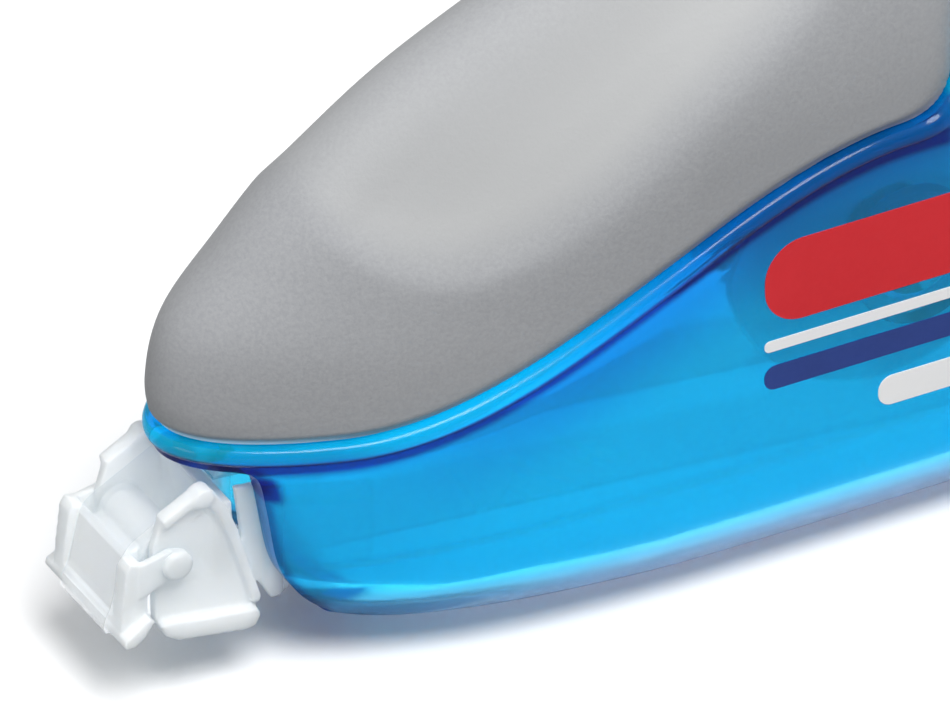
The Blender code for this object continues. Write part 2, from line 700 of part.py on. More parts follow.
def wing_outline():
    # Guard wing beside the head with the stem that runs back into the case.
    low = on_wing([
        (0.01, 0.42), (0.02, 0.22), (0.07, 0.13), (0.18, 0.085), (0.935, 0.03), (0.985, 0.12),
        (0.995, 0.24), (1.055, 0.215), (1.14, 0.11), (1.22, 0.1),
    ])
    bar_low = GUIDE_BAR_Z - GUIDE_BAR_R
    stem = [
        (GUIDE_BAR_X - 3.5 * GUIDE_BAR_R, bar_low), (STEM_END_X, bar_low),
        (STEM_END_X, LINER_OFF_Z - 4 * CLEAR),
    ]
    top = on_wing([
        (0.97, 0.89), (0.805, 0.905), (0.665, 0.85), (0.575, 0.94), (0.52, 0.985), (0.445, 0.99),
        (0.38, 0.96), (0.085, 0.855), (0.0, 0.665),
    ])
    return low + stem + top


def wing_rim_outline():
    # Raised top and rear edge of a wing.
    return on_wing([
        (0.065, 0.86), (0.36, 0.97), (0.445, 1.0), (0.53, 0.995), (0.585, 0.945), (0.705, 0.82),
        (0.9, 0.435), (1.01, 0.175), (0.99, 0.14), (0.925, 0.155), (0.805, 0.42), (0.61, 0.78),
        (0.5, 0.88), (0.34, 0.875), (0.1, 0.79),
    ])


def wing_bar_outline():
    # Thick lower edge of a wing.
    return on_wing([
        (0.985, 0.08), (0.94, 0.015), (0.845, 0.0), (0.195, 0.07), (0.065, 0.115), (0.005, 0.19),
        (0.065, 0.21), (0.955, 0.125),
    ])


def make_carrier():
    pivot = (PIVOT_X, PIVOT_Z)
    web = on_wing([(0.64, 0.335), (0.805, 0.325), (0.77, 0.83), (0.6, 0.865)])
    carrier = plate("tip_carrier", [web], -PLATE_OUT + 0.2, PLATE_OUT - 0.2, MILKY)
    knob = circle(KNOB_R, 16, on_wing([(0.465, 0.94)])[0])
    layers = (
        ("plate", wing_outline(), PLATE_IN, PLATE_OUT),
        ("rim", wing_rim_outline(), PLATE_IN + 0.3 * PLATE_T, PLATE_OUT + WING_RIM_PROUD),
        ("bar", wing_bar_outline(), PLATE_IN + 0.4 * PLATE_T, PLATE_OUT + WING_BAR_PROUD),
        ("knob", knob, PLATE_IN + 0.5 * PLATE_T, PLATE_OUT + CLEAR),
    )
    for label, side in (("left", -1), ("right", 1)):
        for layer, outline, inner, outer in layers:
            low, high = sorted((side * inner, side * outer))
            boolean(carrier, plate("carrier_" + layer + "_" + label, [outline], low, high), "UNION")
    half_bar = PLATE_OUT - 0.2
    bar = cylinder("carrier_guide", GUIDE_BAR_R, -half_bar, half_bar, (GUIDE_BAR_X, GUIDE_BAR_Z), 12)
    boolean(carrier, bar, "UNION")
    boolean(carrier, cylinder("carrier_pin_hole", PIN_R + CLEAR, -OVERSIZE, OVERSIZE, pivot))
    head_low = PLATE_OUT + CLEAR
    head_high = head_low + PIN_HEAD_T
    half = [
        (0.0, head_high), (PIN_HEAD_R * 0.7, head_high - 0.06), (PIN_HEAD_R, head_high - 0.22),
        (PIN_HEAD_R, head_low), (PIN_R, head_low),
    ]
    turned("tip_pin", half + [(r, -y) for r, y in reversed(half)], pivot, 20, MILKY, closed=False)


# Tape path

def tangent(first, first_r, second, second_r):
    # Ends of the straight run between two circles; a positive radius keeps the circle
    # on the right of the direction of travel, a negative one on the left.
    dx, dz = second[0] - first[0], second[1] - first[1]
    length = math.hypot(dx, dz)
    heading = math.atan2(dz, dx)
    swing = math.acos((second_r - first_r) / length)
    normal = heading - swing
    nx, nz = math.cos(normal), math.sin(normal)
    start = (first[0] - nx * first_r, first[1] - nz * first_r)
    end = (second[0] - nx * second_r, second[1] - nz * second_r)
    return start, end


def arc(centre, start, end, count=4):
    radius = math.dist(centre, start)
    first = math.atan2(start[1] - centre[1], start[0] - centre[0])
    last = math.atan2(end[1] - centre[1], end[0] - centre[0])
    sweep = (last - first + math.pi) % (2 * math.pi) - math.pi
    return [
        (centre[0] + radius * math.cos(first + sweep * i / count),
         centre[1] + radius * math.sin(first + sweep * i / count))
        for i in range(count + 1)
    ]


def ribbon(name, path, mat, centre=(0.0, 0.0)):
    # Flat strip of tape on edge, its thickness laid off both sides of the path.
    points = np.array(path)
    along = np.gradient(points, axis=0)
    along /= np.linalg.norm(along, axis=1)[:, None]
    side = np.stack([-along[:, 1], along[:, 0]], axis=1) * TAPE_T / 2
    outline = np.concatenate([points + side, (points - side)[::-1]])
    plate(name, [outline.tolist()], -TAPE_W / 2, TAPE_W / 2, mat, centre)


def make_tape():
    stand_off = CLEAR + TAPE_T / 2
    roller = (ROLLER_X, ROLLER_Z)
    bar = (GUIDE_BAR_X, GUIDE_BAR_Z)
    roller_r = ROLLER_R + stand_off
    bar_r = GUIDE_BAR_R + stand_off
    leave, meet = tangent(SUPPLY, SUPPLY_ROLL_R + stand_off, roller, roller_r)
    part, over = tangent(roller, roller_r, bar, -bar_r)
    blade_end = (BLADE_X + HEAD_T + 0.5, BLADE_Z + 0.25)
    off, tip = tangent(bar, -bar_r, blade_end, 0.0)
    ribbon("tape_feed_run", [leave] + arc(roller, meet, part) + arc(bar, over, off, 3) + [tip], TAPE)

    start = (LINER_OFF_X + 0.7, LINER_OFF_Z + 0.75)
    first, last = tangent(start, 0.0, TAKEUP, -(LINER_R + stand_off))
    middle = ((first[0] + last[0]) / 2, (first[1] + last[1]) / 2)
    ribbon("liner_return_run", [first, middle, last], LINER)

    gap = TAPE_LIFT + TAPE_T / 2
    wrap = [
        (BLADE_X + BLADE_LAND + 0.72, BLADE_Z + 0.24), (BLADE_X + BLADE_LAND + 0.07, BLADE_Z - gap),
        (BLADE_X + 0.05, BLADE_Z - gap), (BLADE_X - gap, BLADE_Z + 0.12),
        (BLADE_X + 0.05 - gap, BLADE_Z + 0.55), (BLADE_X + 0.2 - gap, BLADE_Z + 1.1),
        (HEAD_TOP_X + 0.2 - gap, HEAD_TOP_Z - 0.25), (HEAD_TOP_X + 0.5, HEAD_TOP_Z + 0.6),
        (LINER_OFF_X, LINER_OFF_Z + gap + 0.3),
    ]
    ribbon("tip_tape", wrap, LINER, (PIVOT_X, PIVOT_Z))


make_case()
make_grip()
make_supply()
make_takeup()
make_roller()
make_head()
make_carrier()
make_tape()
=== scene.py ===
import math

import bmesh
import bpy
import numpy as np
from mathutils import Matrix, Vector


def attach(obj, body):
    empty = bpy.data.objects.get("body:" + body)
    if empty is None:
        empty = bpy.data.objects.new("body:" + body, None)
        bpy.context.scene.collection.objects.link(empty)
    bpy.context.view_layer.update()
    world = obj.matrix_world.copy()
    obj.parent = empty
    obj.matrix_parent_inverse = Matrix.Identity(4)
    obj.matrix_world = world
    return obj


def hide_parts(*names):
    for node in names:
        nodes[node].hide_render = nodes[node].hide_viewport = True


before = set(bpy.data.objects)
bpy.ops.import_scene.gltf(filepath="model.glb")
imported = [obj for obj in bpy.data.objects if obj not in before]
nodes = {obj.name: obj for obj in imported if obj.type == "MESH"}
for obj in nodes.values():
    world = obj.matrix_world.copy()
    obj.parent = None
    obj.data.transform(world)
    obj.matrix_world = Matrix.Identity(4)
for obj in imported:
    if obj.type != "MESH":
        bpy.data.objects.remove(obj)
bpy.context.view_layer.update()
scene = bpy.context.scene
mm = 0.001

# lengths below are millimetres in the drawing's own x, which starts at the nose
caseForm = dict(
    midX=35.0584, halfWidth=7.6, wall=1.2, partGap=0.03,
    rimHeight=12.3, rimTall=0.56, rimDeep=0.5, rimProud=0.34, rimRadius=0.5,
    noseTaper=24.0, tailTaper=7.5, panelLow=4.5, panelHigh=24.6, edgeSharpness=0.6,
    bellyFlat=0.15, crestRise=0.6, tailRadius=18.465, supplyX=55.9518, takeupX=35.9,
    seamRise=9.75, seamStart=6.6, seamRun=28.5, hub=(46.0, 14.0), slopeStep=0.03,
    crestBehind=3.0, tailTurns=(78, -80, -26), bellyRun=14.0, bellyAhead=2.0, thickAhead=2.6, thickRun=2.2,
)
noseStations = [(-0.2, 0.0), (-0.55, 2.6), (0.25, 5.7), (2.8, 8.6), (6.2, 11.9), (11.6, 15.8),
                (19.0, 19.3), (27.5, 23.0)]
chinStations = [(17.0, 0.3), (10.5, 1.0), (6.2, 2.0), (2.6, 4.2), (0.4, 8.4)]
tailX = caseForm["supplyX"] + caseForm["tailRadius"]
crestZ = 2 * caseForm["tailRadius"] + caseForm["crestRise"]
rimZ = caseForm["rimHeight"]
seamZ = rimZ + caseForm["rimRadius"]


def smooth(t):  # the cubic ease 3t^2 - 2t^3, held to 0..1
    t = np.clip(t, 0.0, 1.0)
    return t * t * (3 - 2 * t)


def hermite(xs, ys, x):  # smooth curve through points by cubic pieces with mean slopes
    xs, ys = np.asarray(xs, float), np.asarray(ys, float)
    slope = np.gradient(ys, xs)
    i = np.clip(np.searchsorted(xs, x) - 1, 0, len(xs) - 2)
    h = xs[i + 1] - xs[i]
    t = np.clip((x - xs[i]) / h, 0.0, 1.0)
    a, b = 2 * t**3 - 3 * t**2 + 1, t**3 - 2 * t**2 + t
    c, d = -2 * t**3 + 3 * t**2, t**3 - t**2
    return a * ys[i] + b * h * slope[i] + c * ys[i + 1] + d * h * slope[i + 1]


def seamHeight(x):
    return seamZ + caseForm["seamRise"] * smooth((x - caseForm["seamStart"]) / caseForm["seamRun"])


def caseStations():
    c = caseForm
    r, sx = c["tailRadius"], c["supplyX"]
    nose = [(x, rimZ + z) for x, z in noseStations] + [(c["takeupX"] + c["crestBehind"], crestZ)]
    turns = np.radians(np.arange(*c["tailTurns"]))
    tail = [(sx + r * math.cos(a), r + r * math.sin(a)) for a in turns]
    belly = [(x, -c["bellyFlat"]) for x in (sx, sx - c["bellyRun"], c["noseTaper"] + c["bellyAhead"])]
    return np.array(nose + tail + belly + chinStations)


stations = caseStations()
fineness = dict(body=(480, 72, 26), inner=(300, 44, 16), core=(240, 36, 12), grip=(600, 100, 64))


def closedSpline(points, share):  # closed Catmull-Rom curve at fractional station numbers
    i = np.floor(share).astype(int)
    f = (share - i)[..., None]
    p0, p1, p2, p3 = (points[(i + k) % len(points)] for k in (-1, 0, 1, 2))
    bend = (2 * p0 - 5 * p1 + 4 * p2 - p3) * f**2 + (3 * p1 - p0 - 3 * p2 + p3) * f**3
    return 0.5 * (2 * p1 + (p2 - p0) * f + bend)


def outlineAt(share):  # side view of the case: edge points, inward normals, panel points, roundness
    c = caseForm
    edge = closedSpline(stations, share)
    along = closedSpline(stations, share + c["slopeStep"]) - closedSpline(stations, share - c["slopeStep"])
    along /= np.linalg.norm(along, axis=-1)[..., None]
    inward = np.stack([along[..., 1], -along[..., 0]], axis=-1)
    rise = np.clip(edge[..., 1] / crestZ, 0.0, 1.0)
    panel = np.stack([np.clip(edge[..., 0], c["noseTaper"], tailX - c["tailTaper"]),
                      c["panelLow"] + (c["panelHigh"] - c["panelLow"]) * rise], axis=-1)
    power = 2 / (2 + c["edgeSharpness"] * np.exp(-(edge[..., 1] / c["panelLow"]) ** 2))
    return edge, inward, panel, power


def flankAt(share, turn, depth):
    # the rounded flank: a point goes from edge to panel by 1 - cos^p and stands out sideways by sin^p
    edge, inward, panel, power = outlineAt(share)
    depth = np.broadcast_to(depth, np.broadcast(share, turn).shape)
    inset = 1 - np.clip(np.cos(turn), 0.0, 1.0) ** power
    start = edge + inward * depth[..., None]
    flat = start + (panel - start) * inset[..., None]
    y = (caseForm["halfWidth"] - depth) * np.sin(turn) ** power
    return np.stack([flat[..., 0], y, np.maximum(flat[..., 1], np.clip(depth, 0.0, None))], axis=-1)


def caseSkin(around, turnRows, panelRows, depthOf):
    # rows of points from the mid-plane over the flank, then shrinking to the panel's middle
    share = np.broadcast_to(np.arange(around) * len(stations) / around, (turnRows, around))
    turn = np.linspace(0.0, math.pi / 2, turnRows)[:, None] * np.ones(around)
    panel = outlineAt(share[0])[2]
    shrink = np.linspace(0.0, 1.0, panelRows + 1)[1:, None, None]
    flat = panel + (np.array(caseForm["hub"]) - panel) * shrink
    flank = flankAt(share, turn, np.zeros_like(turn))
    flank = flankAt(share, turn, depthOf(*np.moveaxis(flank, -1, 0)))
    wide = np.full(flat.shape[:2], caseForm["halfWidth"])
    side = wide - depthOf(flat[..., 0], wide, flat[..., 1])
    return np.concatenate([flank, np.stack([flat[..., 0], side, flat[..., 1]], axis=-1)])


def gridFaces(rows, around, first=0, flip=False):  # quads between rows that close round on themselves
    i, j = np.meshgrid(np.arange(rows - 1), np.arange(around), indexing="ij")
    k = (j + 1) % around
    quad = np.stack([i * around + j, i * around + k, (i + 1) * around + k, (i + 1) * around + j],
                    axis=-1) + first
    quad = quad.reshape(-1, 4)
    return quad[:, ::-1] if flip else quad


def stripFaces(a, b):  # quads between two closed rings of vertex numbers
    return np.stack([a, np.roll(a, -1), np.roll(b, -1), b], axis=-1)


def makeObject(name, verts, faces, merge=0.0002):  # verts in drawing millimetres
    verts = (np.asarray(verts, float) - [caseForm["midX"], 0.0, 0.0]) * mm
    mesh = bpy.data.meshes.new(name)
    mesh.from_pydata(verts.tolist(), [], [list(f) for f in faces])
    bm = bmesh.new()
    bm.from_mesh(mesh)
    bmesh.ops.remove_doubles(bm, verts=bm.verts, dist=merge * mm)
    bmesh.ops.recalc_face_normals(bm, faces=bm.faces)
    bm.to_mesh(mesh)
    bm.free()
    obj = bpy.data.objects.new(name, mesh)
    scene.collection.objects.link(obj)
    return obj


def fullForm(name, fine, depthOf):  # closed body from two mirrored skins
    near = caseSkin(*fine, depthOf)
    rows, around = near.shape[:2]
    verts = np.concatenate([near * [1, -1, 1], near]).reshape(-1, 3)
    faces = np.concatenate([gridFaces(rows, around), gridFaces(rows, around, rows * around, True)])
    return makeObject(name, verts, faces)


def prism(name, outline, low, high):  # flat outline carried straight across from one y to another
    outline = np.asarray(outline, float)
    n = len(outline)
    front = np.stack([outline[:, 0], np.full(n, low), outline[:, 1]], axis=1)
    back = np.stack([outline[:, 0], np.full(n, high), outline[:, 1]], axis=1)
    ring = np.arange(n)
    faces = stripFaces(ring, ring + n).tolist() + [ring.tolist(), (ring + n)[::-1].tolist()]
    return makeObject(name, np.concatenate([front, back]), faces)


def ringPoints(centre, radius, count=48):
    a = np.arange(count) * 2 * math.pi / count
    return np.stack([centre[0] + radius * np.cos(a), centre[1] + radius * np.sin(a)], axis=1)


def bakeModifiers(obj):
    graph = bpy.context.evaluated_depsgraph_get()
    mesh = bpy.data.meshes.new_from_object(obj.evaluated_get(graph))
    obj.modifiers.clear()
    obj.data = mesh


def combine(obj, other, operation, keep=False):  # boolean worked out at once
    mod = obj.modifiers.new(operation.lower(), "BOOLEAN")
    mod.operation, mod.object, mod.solver = operation, other, "MANIFOLD"
    bakeModifiers(obj)
    if not keep:
        bpy.data.objects.remove(other, do_unlink=True)
    return obj


def softMoulding(obj, voxel, rounds):  # remade as one even skin with its edges worn round
    melt = obj.modifiers.new("melt", "REMESH")
    melt.mode, melt.voxel_size = "VOXEL", voxel * mm
    ease = obj.modifiers.new("ease", "SMOOTH")
    ease.factor, ease.iterations = 0.5, rounds
    bakeModifiers(obj)


def shade(obj, mat, angle=35):
    obj.data.materials.clear()
    obj.data.materials.append(mat)
    obj.data.shade_smooth()
    obj.data.set_sharp_from_angle(angle=math.radians(angle))


def settle(obj, body, slot, *replaced):
    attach(obj, body)
    if replaced:
        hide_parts(*replaced)


# shader pieces shared by the finishes

def addNode(tree, kind, **values):
    node = tree.nodes.new(kind)
    for key, value in values.items():
        if hasattr(node, key):
            setattr(node, key, value)
        else:
            node.inputs[key.replace("_", " ")].default_value = value
    return node


def newGroup(name, inputs, outputs):
    group = bpy.data.node_groups.new(name, "ShaderNodeTree")
    for label, kind, start in inputs:
        socket = group.interface.new_socket(name=label, in_out="INPUT", socket_type=kind)
        if start is not None:
            socket.default_value = start
    for label, kind in outputs:
        group.interface.new_socket(name=label, in_out="OUTPUT", socket_type=kind)
    return group, group.nodes.new("NodeGroupInput"), group.nodes.new("NodeGroupOutput")


def rangeNode(tree, source, fromLow, fromHigh, toLow=0.0, toHigh=1.0, kind="SMOOTHSTEP"):
    node = addNode(tree, "ShaderNodeMapRange", interpolation_type=kind)
    node.inputs["From Min"].default_value, node.inputs["From Max"].default_value = fromLow, fromHigh
    node.inputs["To Min"].default_value, node.inputs["To Max"].default_value = toLow, toHigh
    tree.links.new(source, node.inputs["Value"])
    return node.outputs["Result"]


def mathNode(tree, operation, a, b):
    node = addNode(tree, "ShaderNodeMath", operation=operation)
    tree.links.new(a, node.inputs[0])
    tree.links.new(b, node.inputs[1])
    return node.outputs[0]


def tintNode(tree, mask, base, colour):  # base goes over to the colour where the mask is one
    node = addNode(tree, "ShaderNodeMix", data_type="RGBA")
    node.inputs[6].default_value = (0.0, 0.0, 0.0, 1.0)
    node.inputs[7].default_value = (*colour, 1.0)
    tree.links.new(mask, node.inputs[0])
    if base is not None:
        tree.links.new(base, node.inputs[6])
    return node.outputs[2]


grainParts = dict(coarseShare=0.35, speckSpan=(0.3, 0.7), mottleSpan=(0.32, 0.68))


def makeGrain():  # fine speckle and the bump height that goes with it
    group, enter, leave = newGroup(
        "fineGrain", [("Vector", "NodeSocketVector", None), ("Scale", "NodeSocketFloat", 6000.0)],
        [("Speckle", "NodeSocketFloat"), ("Height", "NodeSocketFloat")])
    fine = addNode(group, "ShaderNodeTexNoise", Detail=2.0, Roughness=0.6)
    coarse = addNode(group, "ShaderNodeTexNoise", Detail=3.0, Roughness=0.5)
    third = addNode(group, "ShaderNodeMath", operation="MULTIPLY")
    third.inputs[1].default_value = grainParts["coarseShare"]
    link = group.links.new
    link(enter.outputs["Vector"], fine.inputs["Vector"])
    link(enter.outputs["Scale"], fine.inputs["Scale"])
    link(enter.outputs["Vector"], coarse.inputs["Vector"])
    link(enter.outputs["Scale"], third.inputs[0])
    link(third.outputs[0], coarse.inputs["Scale"])
    speck = rangeNode(group, fine.outputs["Fac"], *grainParts["speckSpan"], kind="LINEAR")
    link(speck, leave.inputs["Speckle"])
    link(mathNode(group, "ADD", fine.outputs["Fac"], coarse.outputs["Fac"]), leave.inputs["Height"])
    return group


def makeMottle():  # slow cloudy change of tone over a moulding
    group, enter, leave = newGroup(
        "slowMottle", [("Vector", "NodeSocketVector", None), ("Scale", "NodeSocketFloat", 90.0)],
        [("Mask", "NodeSocketFloat")])
    cloud = addNode(group, "ShaderNodeTexNoise", Detail=4.0, Roughness=0.55, Distortion=0.4)
    link = group.links.new
    link(enter.outputs["Vector"], cloud.inputs["Vector"])
    link(enter.outputs["Scale"], cloud.inputs["Scale"])
    level = rangeNode(group, cloud.outputs["Fac"], *grainParts["mottleSpan"], kind="LINEAR")
    link(level, leave.inputs["Mask"])
    return group


# painted shade and painted light on the case by place: heights, distances and places along x in
# millimetres
caseShadeAndGlow = dict(
    upper=(0.0, 0.40, 0.84), upperSpan=(0.9, 1.4, 7.0), upperFade=(5.0, 20.0),
    rimShadeAndGlow=(0.0, 0.22, 0.66), beadSpan=(-1.4, -1.0, 0.75, 1.05), beadFade=(13.0, 26.0),
    belly=(0.50, 0.70, 0.93), bellyLightSpan=(0.3, 4.6), bellyLightShare=0.9,
    paintedShade=(0.0, 0.015, 0.24), lineSpan=(0.55, 0.80, 1.35, 1.85), lineEnd=(36.5, 38.5),
    edgeSpan=(0.1, 0.55), edgeShare=0.75, patchBehind=(0.5, 1.1), patchHeight=(9.3, 10.0), visorFade=0.5,
    cornerAlong=(8.1, 9.0), cornerHeight=(2.2, 2.7),
    beadGlow=(0.0, 0.34, 0.50), bellyGlow=(0.55, 0.36, 0.36), glowSpan=(0.2, 1.7),
)
mouth = dict(visor=11.45, edgeX=[2.2, 2.8, 3.15, 3.45, 4.0, 4.7, 5.6, 6.9],
             drop=[0.0, 0.16, 0.7, 2.3, 5.2, 6.7, 7.8, 8.8], curveSpan=(12.0, 10.0),
             curveEnds=(1.0, 0.2), farX=-6.0, chinX=7.3, lowZ=-4.0, steps=90)


def mouthDistance(tree, x, z):  # how far behind the mouth edge, whose x follows from the height by a curve
    tall, deep = mouth["curveSpan"]
    share = rangeNode(tree, z, 0.0, tall * mm, kind="LINEAR")
    bend = tree.nodes.new("ShaderNodeFloatCurve")
    points = bend.mapping.curves[0].points
    for edgeX, drop in list(zip(mouth["edgeX"], mouth["drop"]))[1:-1]:
        points.new((mouth["visor"] - drop) / tall, edgeX / deep)
    low, high = mouth["curveEnds"]
    points[0].location = (0.0, low)
    points[len(points) - 1].location = (1.0, high)
    bend.mapping.update()
    tree.links.new(share, bend.inputs["Value"])
    ends = (-caseForm["midX"] * mm, (deep - caseForm["midX"]) * mm)
    edge = rangeNode(tree, bend.outputs["Value"], 0.0, 1.0, *ends, "LINEAR")
    return mathNode(tree, "SUBTRACT", x, edge)


def makeSeamShade():
    # painted shade: a dark line under the rim and along the mouth edge, deeper blue below the rim and on
    # the rim bead; painted light: a pale belly, and a glow that stands for light running inside the thick
    # rim and the belly
    c, t = caseForm, caseShadeAndGlow
    group, enter, leave = newGroup(
        "seamShade", [("Vector", "NodeSocketVector", None), ("Color", "NodeSocketColor", None)],
        [("Color", "NodeSocketColor"), ("Glow", "NodeSocketColor")])
    split = group.nodes.new("ShaderNodeSeparateXYZ")
    group.links.new(enter.outputs["Vector"], split.inputs[0])
    x, z = split.outputs["X"], split.outputs["Z"]

    def rising(source, low, high, share=1.0):  # smooth step up between two places in millimetres
        return rangeNode(group, source, low * mm, high * mm, 0.0, share)

    def falling(source, low, high, share=1.0):
        return rangeNode(group, source, low * mm, high * mm, share, 0.0)

    def along(step, low, high):  # a step by the drawing's own x
        return step(x, low - c["midX"], high - c["midX"])

    def both(first, *others):
        for mask in others:
            first = mathNode(group, "MULTIPLY", first, mask)
        return first

    start = (c["seamStart"] - c["midX"]) * mm
    seam = rangeNode(group, x, start, start + c["seamRun"] * mm, seamZ * mm, (seamZ + c["seamRise"]) * mm)
    drop = mathNode(group, "SUBTRACT", seam, z)
    behind = mouthDistance(group, x, z)
    ahead = along(falling, *t["lineEnd"])
    under = falling(z, mouth["visor"] - t["visorFade"], mouth["visor"])
    # painted shade: deeper blue below the rim, where the grip above shades the inside of the case
    upper = both(rising(drop, *t["upperSpan"][:2]), falling(drop, *t["upperSpan"][1:]), ahead,
                 along(rising, *t["upperFade"]))
    # the rim bead's band: painted shade on its rear part, painted glow on its front part
    rimShadeAndGlow = both(rising(drop, *t["beadSpan"][:2]), falling(drop, *t["beadSpan"][2:]))
    # painted light: the belly paler towards the floor, as if lit through from below
    belly = falling(z, *t["bellyLightSpan"], t["bellyLightShare"])
    # painted shade: a dark line under the rim; the mouth edge, the patch under the visor and the mouth
    # corner join it below
    paintedShade = both(rising(drop, *t["lineSpan"][:2]), falling(drop, *t["lineSpan"][2:]), ahead)
    edge = both(falling(behind, *t["edgeSpan"], t["edgeShare"]), under)
    patch = both(falling(behind, *t["patchBehind"]), rising(z, *t["patchHeight"]), under)
    corner = both(along(falling, *t["cornerAlong"]), falling(z, *t["cornerHeight"]))
    for more in (edge, patch, corner):
        paintedShade = mathNode(group, "MAXIMUM", paintedShade, more)
    # painted shade: the rim bead deeper navy towards the rear
    deep = both(rimShadeAndGlow, along(rising, *t["beadFade"]), ahead)
    tone = enter.outputs["Color"]
    for mask, colour in ((upper, t["upper"]), (deep, t["rimShadeAndGlow"]), (belly, t["belly"]), (paintedShade, t["paintedShade"])):
        tone = tintNode(group, mask, tone, colour)
    # painted light: a glow in the front of the rim and along the bottom, none on the painted shade lines
    paintedGlow = tintNode(group, both(rimShadeAndGlow, along(falling, *t["beadFade"])), None, t["beadGlow"])
    paintedGlow = tintNode(group, falling(z, *t["glowSpan"]), paintedGlow, t["bellyGlow"])
    paintedGlow = tintNode(group, paintedShade, paintedGlow, (0.0, 0.0, 0.0))
    group.links.new(tone, leave.inputs["Color"])
    group.links.new(paintedGlow, leave.inputs["Glow"])
    return group


stemClear = dict(along=(3.6, 5.0), share=0.12)


def makeStemFade():  # solid in the mouth, clear further back where the blue case covers it
    group, enter, leave = newGroup(
        "stemFade", [("Vector", "NodeSocketVector", None)], [("Cover", "NodeSocketFloat")])
    split = group.nodes.new("ShaderNodeSeparateXYZ")
    group.links.new(enter.outputs["Vector"], split.inputs[0])
    low, high = ((at - caseForm["midX"]) * mm for at in stemClear["along"])
    cover = rangeNode(group, split.outputs["X"], low, high, 1.0, stemClear["share"])
    group.links.new(cover, leave.inputs["Cover"])
    return group


grainGroup = makeGrain()
mottleGroup = makeMottle()
seamGroup = makeSeamShade()
stemGroup = makeStemFade()


def finishMaterial(name, look):
    # two close tones mixed by mottle and speckle, roughness between two levels, grain as bump
    mat = bpy.data.materials.new(name)
    mat.use_nodes = True
    tree = mat.node_tree
    shader = tree.nodes["Principled BSDF"]
    place = tree.nodes.new("ShaderNodeTexCoord")
    grain = tree.nodes.new("ShaderNodeGroup")
    grain.node_tree = grainGroup
    grain.inputs["Scale"].default_value = look["grainScale"]
    mottle = tree.nodes.new("ShaderNodeGroup")
    mottle.node_tree = mottleGroup
    mottle.inputs["Scale"].default_value = look["mottleScale"]
    blendTone = addNode(tree, "ShaderNodeMix", data_type="RGBA")
    blendTone.inputs[6].default_value = (*look["toneA"], 1.0)
    blendTone.inputs[7].default_value = (*look["toneB"], 1.0)
    speckTone = addNode(tree, "ShaderNodeMix", data_type="RGBA")
    speckTone.inputs[7].default_value = (*look["speck"], 1.0)
    amount = addNode(tree, "ShaderNodeMath", operation="MULTIPLY")
    amount.inputs[1].default_value = look["speckAmount"]
    rough = addNode(tree, "ShaderNodeMapRange")
    rough.inputs["To Min"].default_value, rough.inputs["To Max"].default_value = look["rough"]
    bump = addNode(tree, "ShaderNodeBump")
    bump.inputs["Strength"].default_value = look["bump"]
    bump.inputs["Distance"].default_value = look["bumpDepth"] * mm
    link = tree.links.new
    link(place.outputs["Object"], grain.inputs["Vector"])
    link(place.outputs["Object"], mottle.inputs["Vector"])
    link(mottle.outputs["Mask"], blendTone.inputs[0])
    link(grain.outputs["Speckle"], amount.inputs[0])
    link(amount.outputs[0], speckTone.inputs[0])
    link(blendTone.outputs[2], speckTone.inputs[6])
    link(speckTone.outputs[2], shader.inputs["Base Color"])
    link(mottle.outputs["Mask"], rough.inputs["Value"])
    link(rough.outputs["Result"], shader.inputs["Roughness"])
    link(grain.outputs["Height"], bump.inputs["Height"])
    link(bump.outputs["Normal"], shader.inputs["Normal"])
    for key, value in look.get("plain", {}).items():
        shader.inputs[key].default_value = value
    return mat


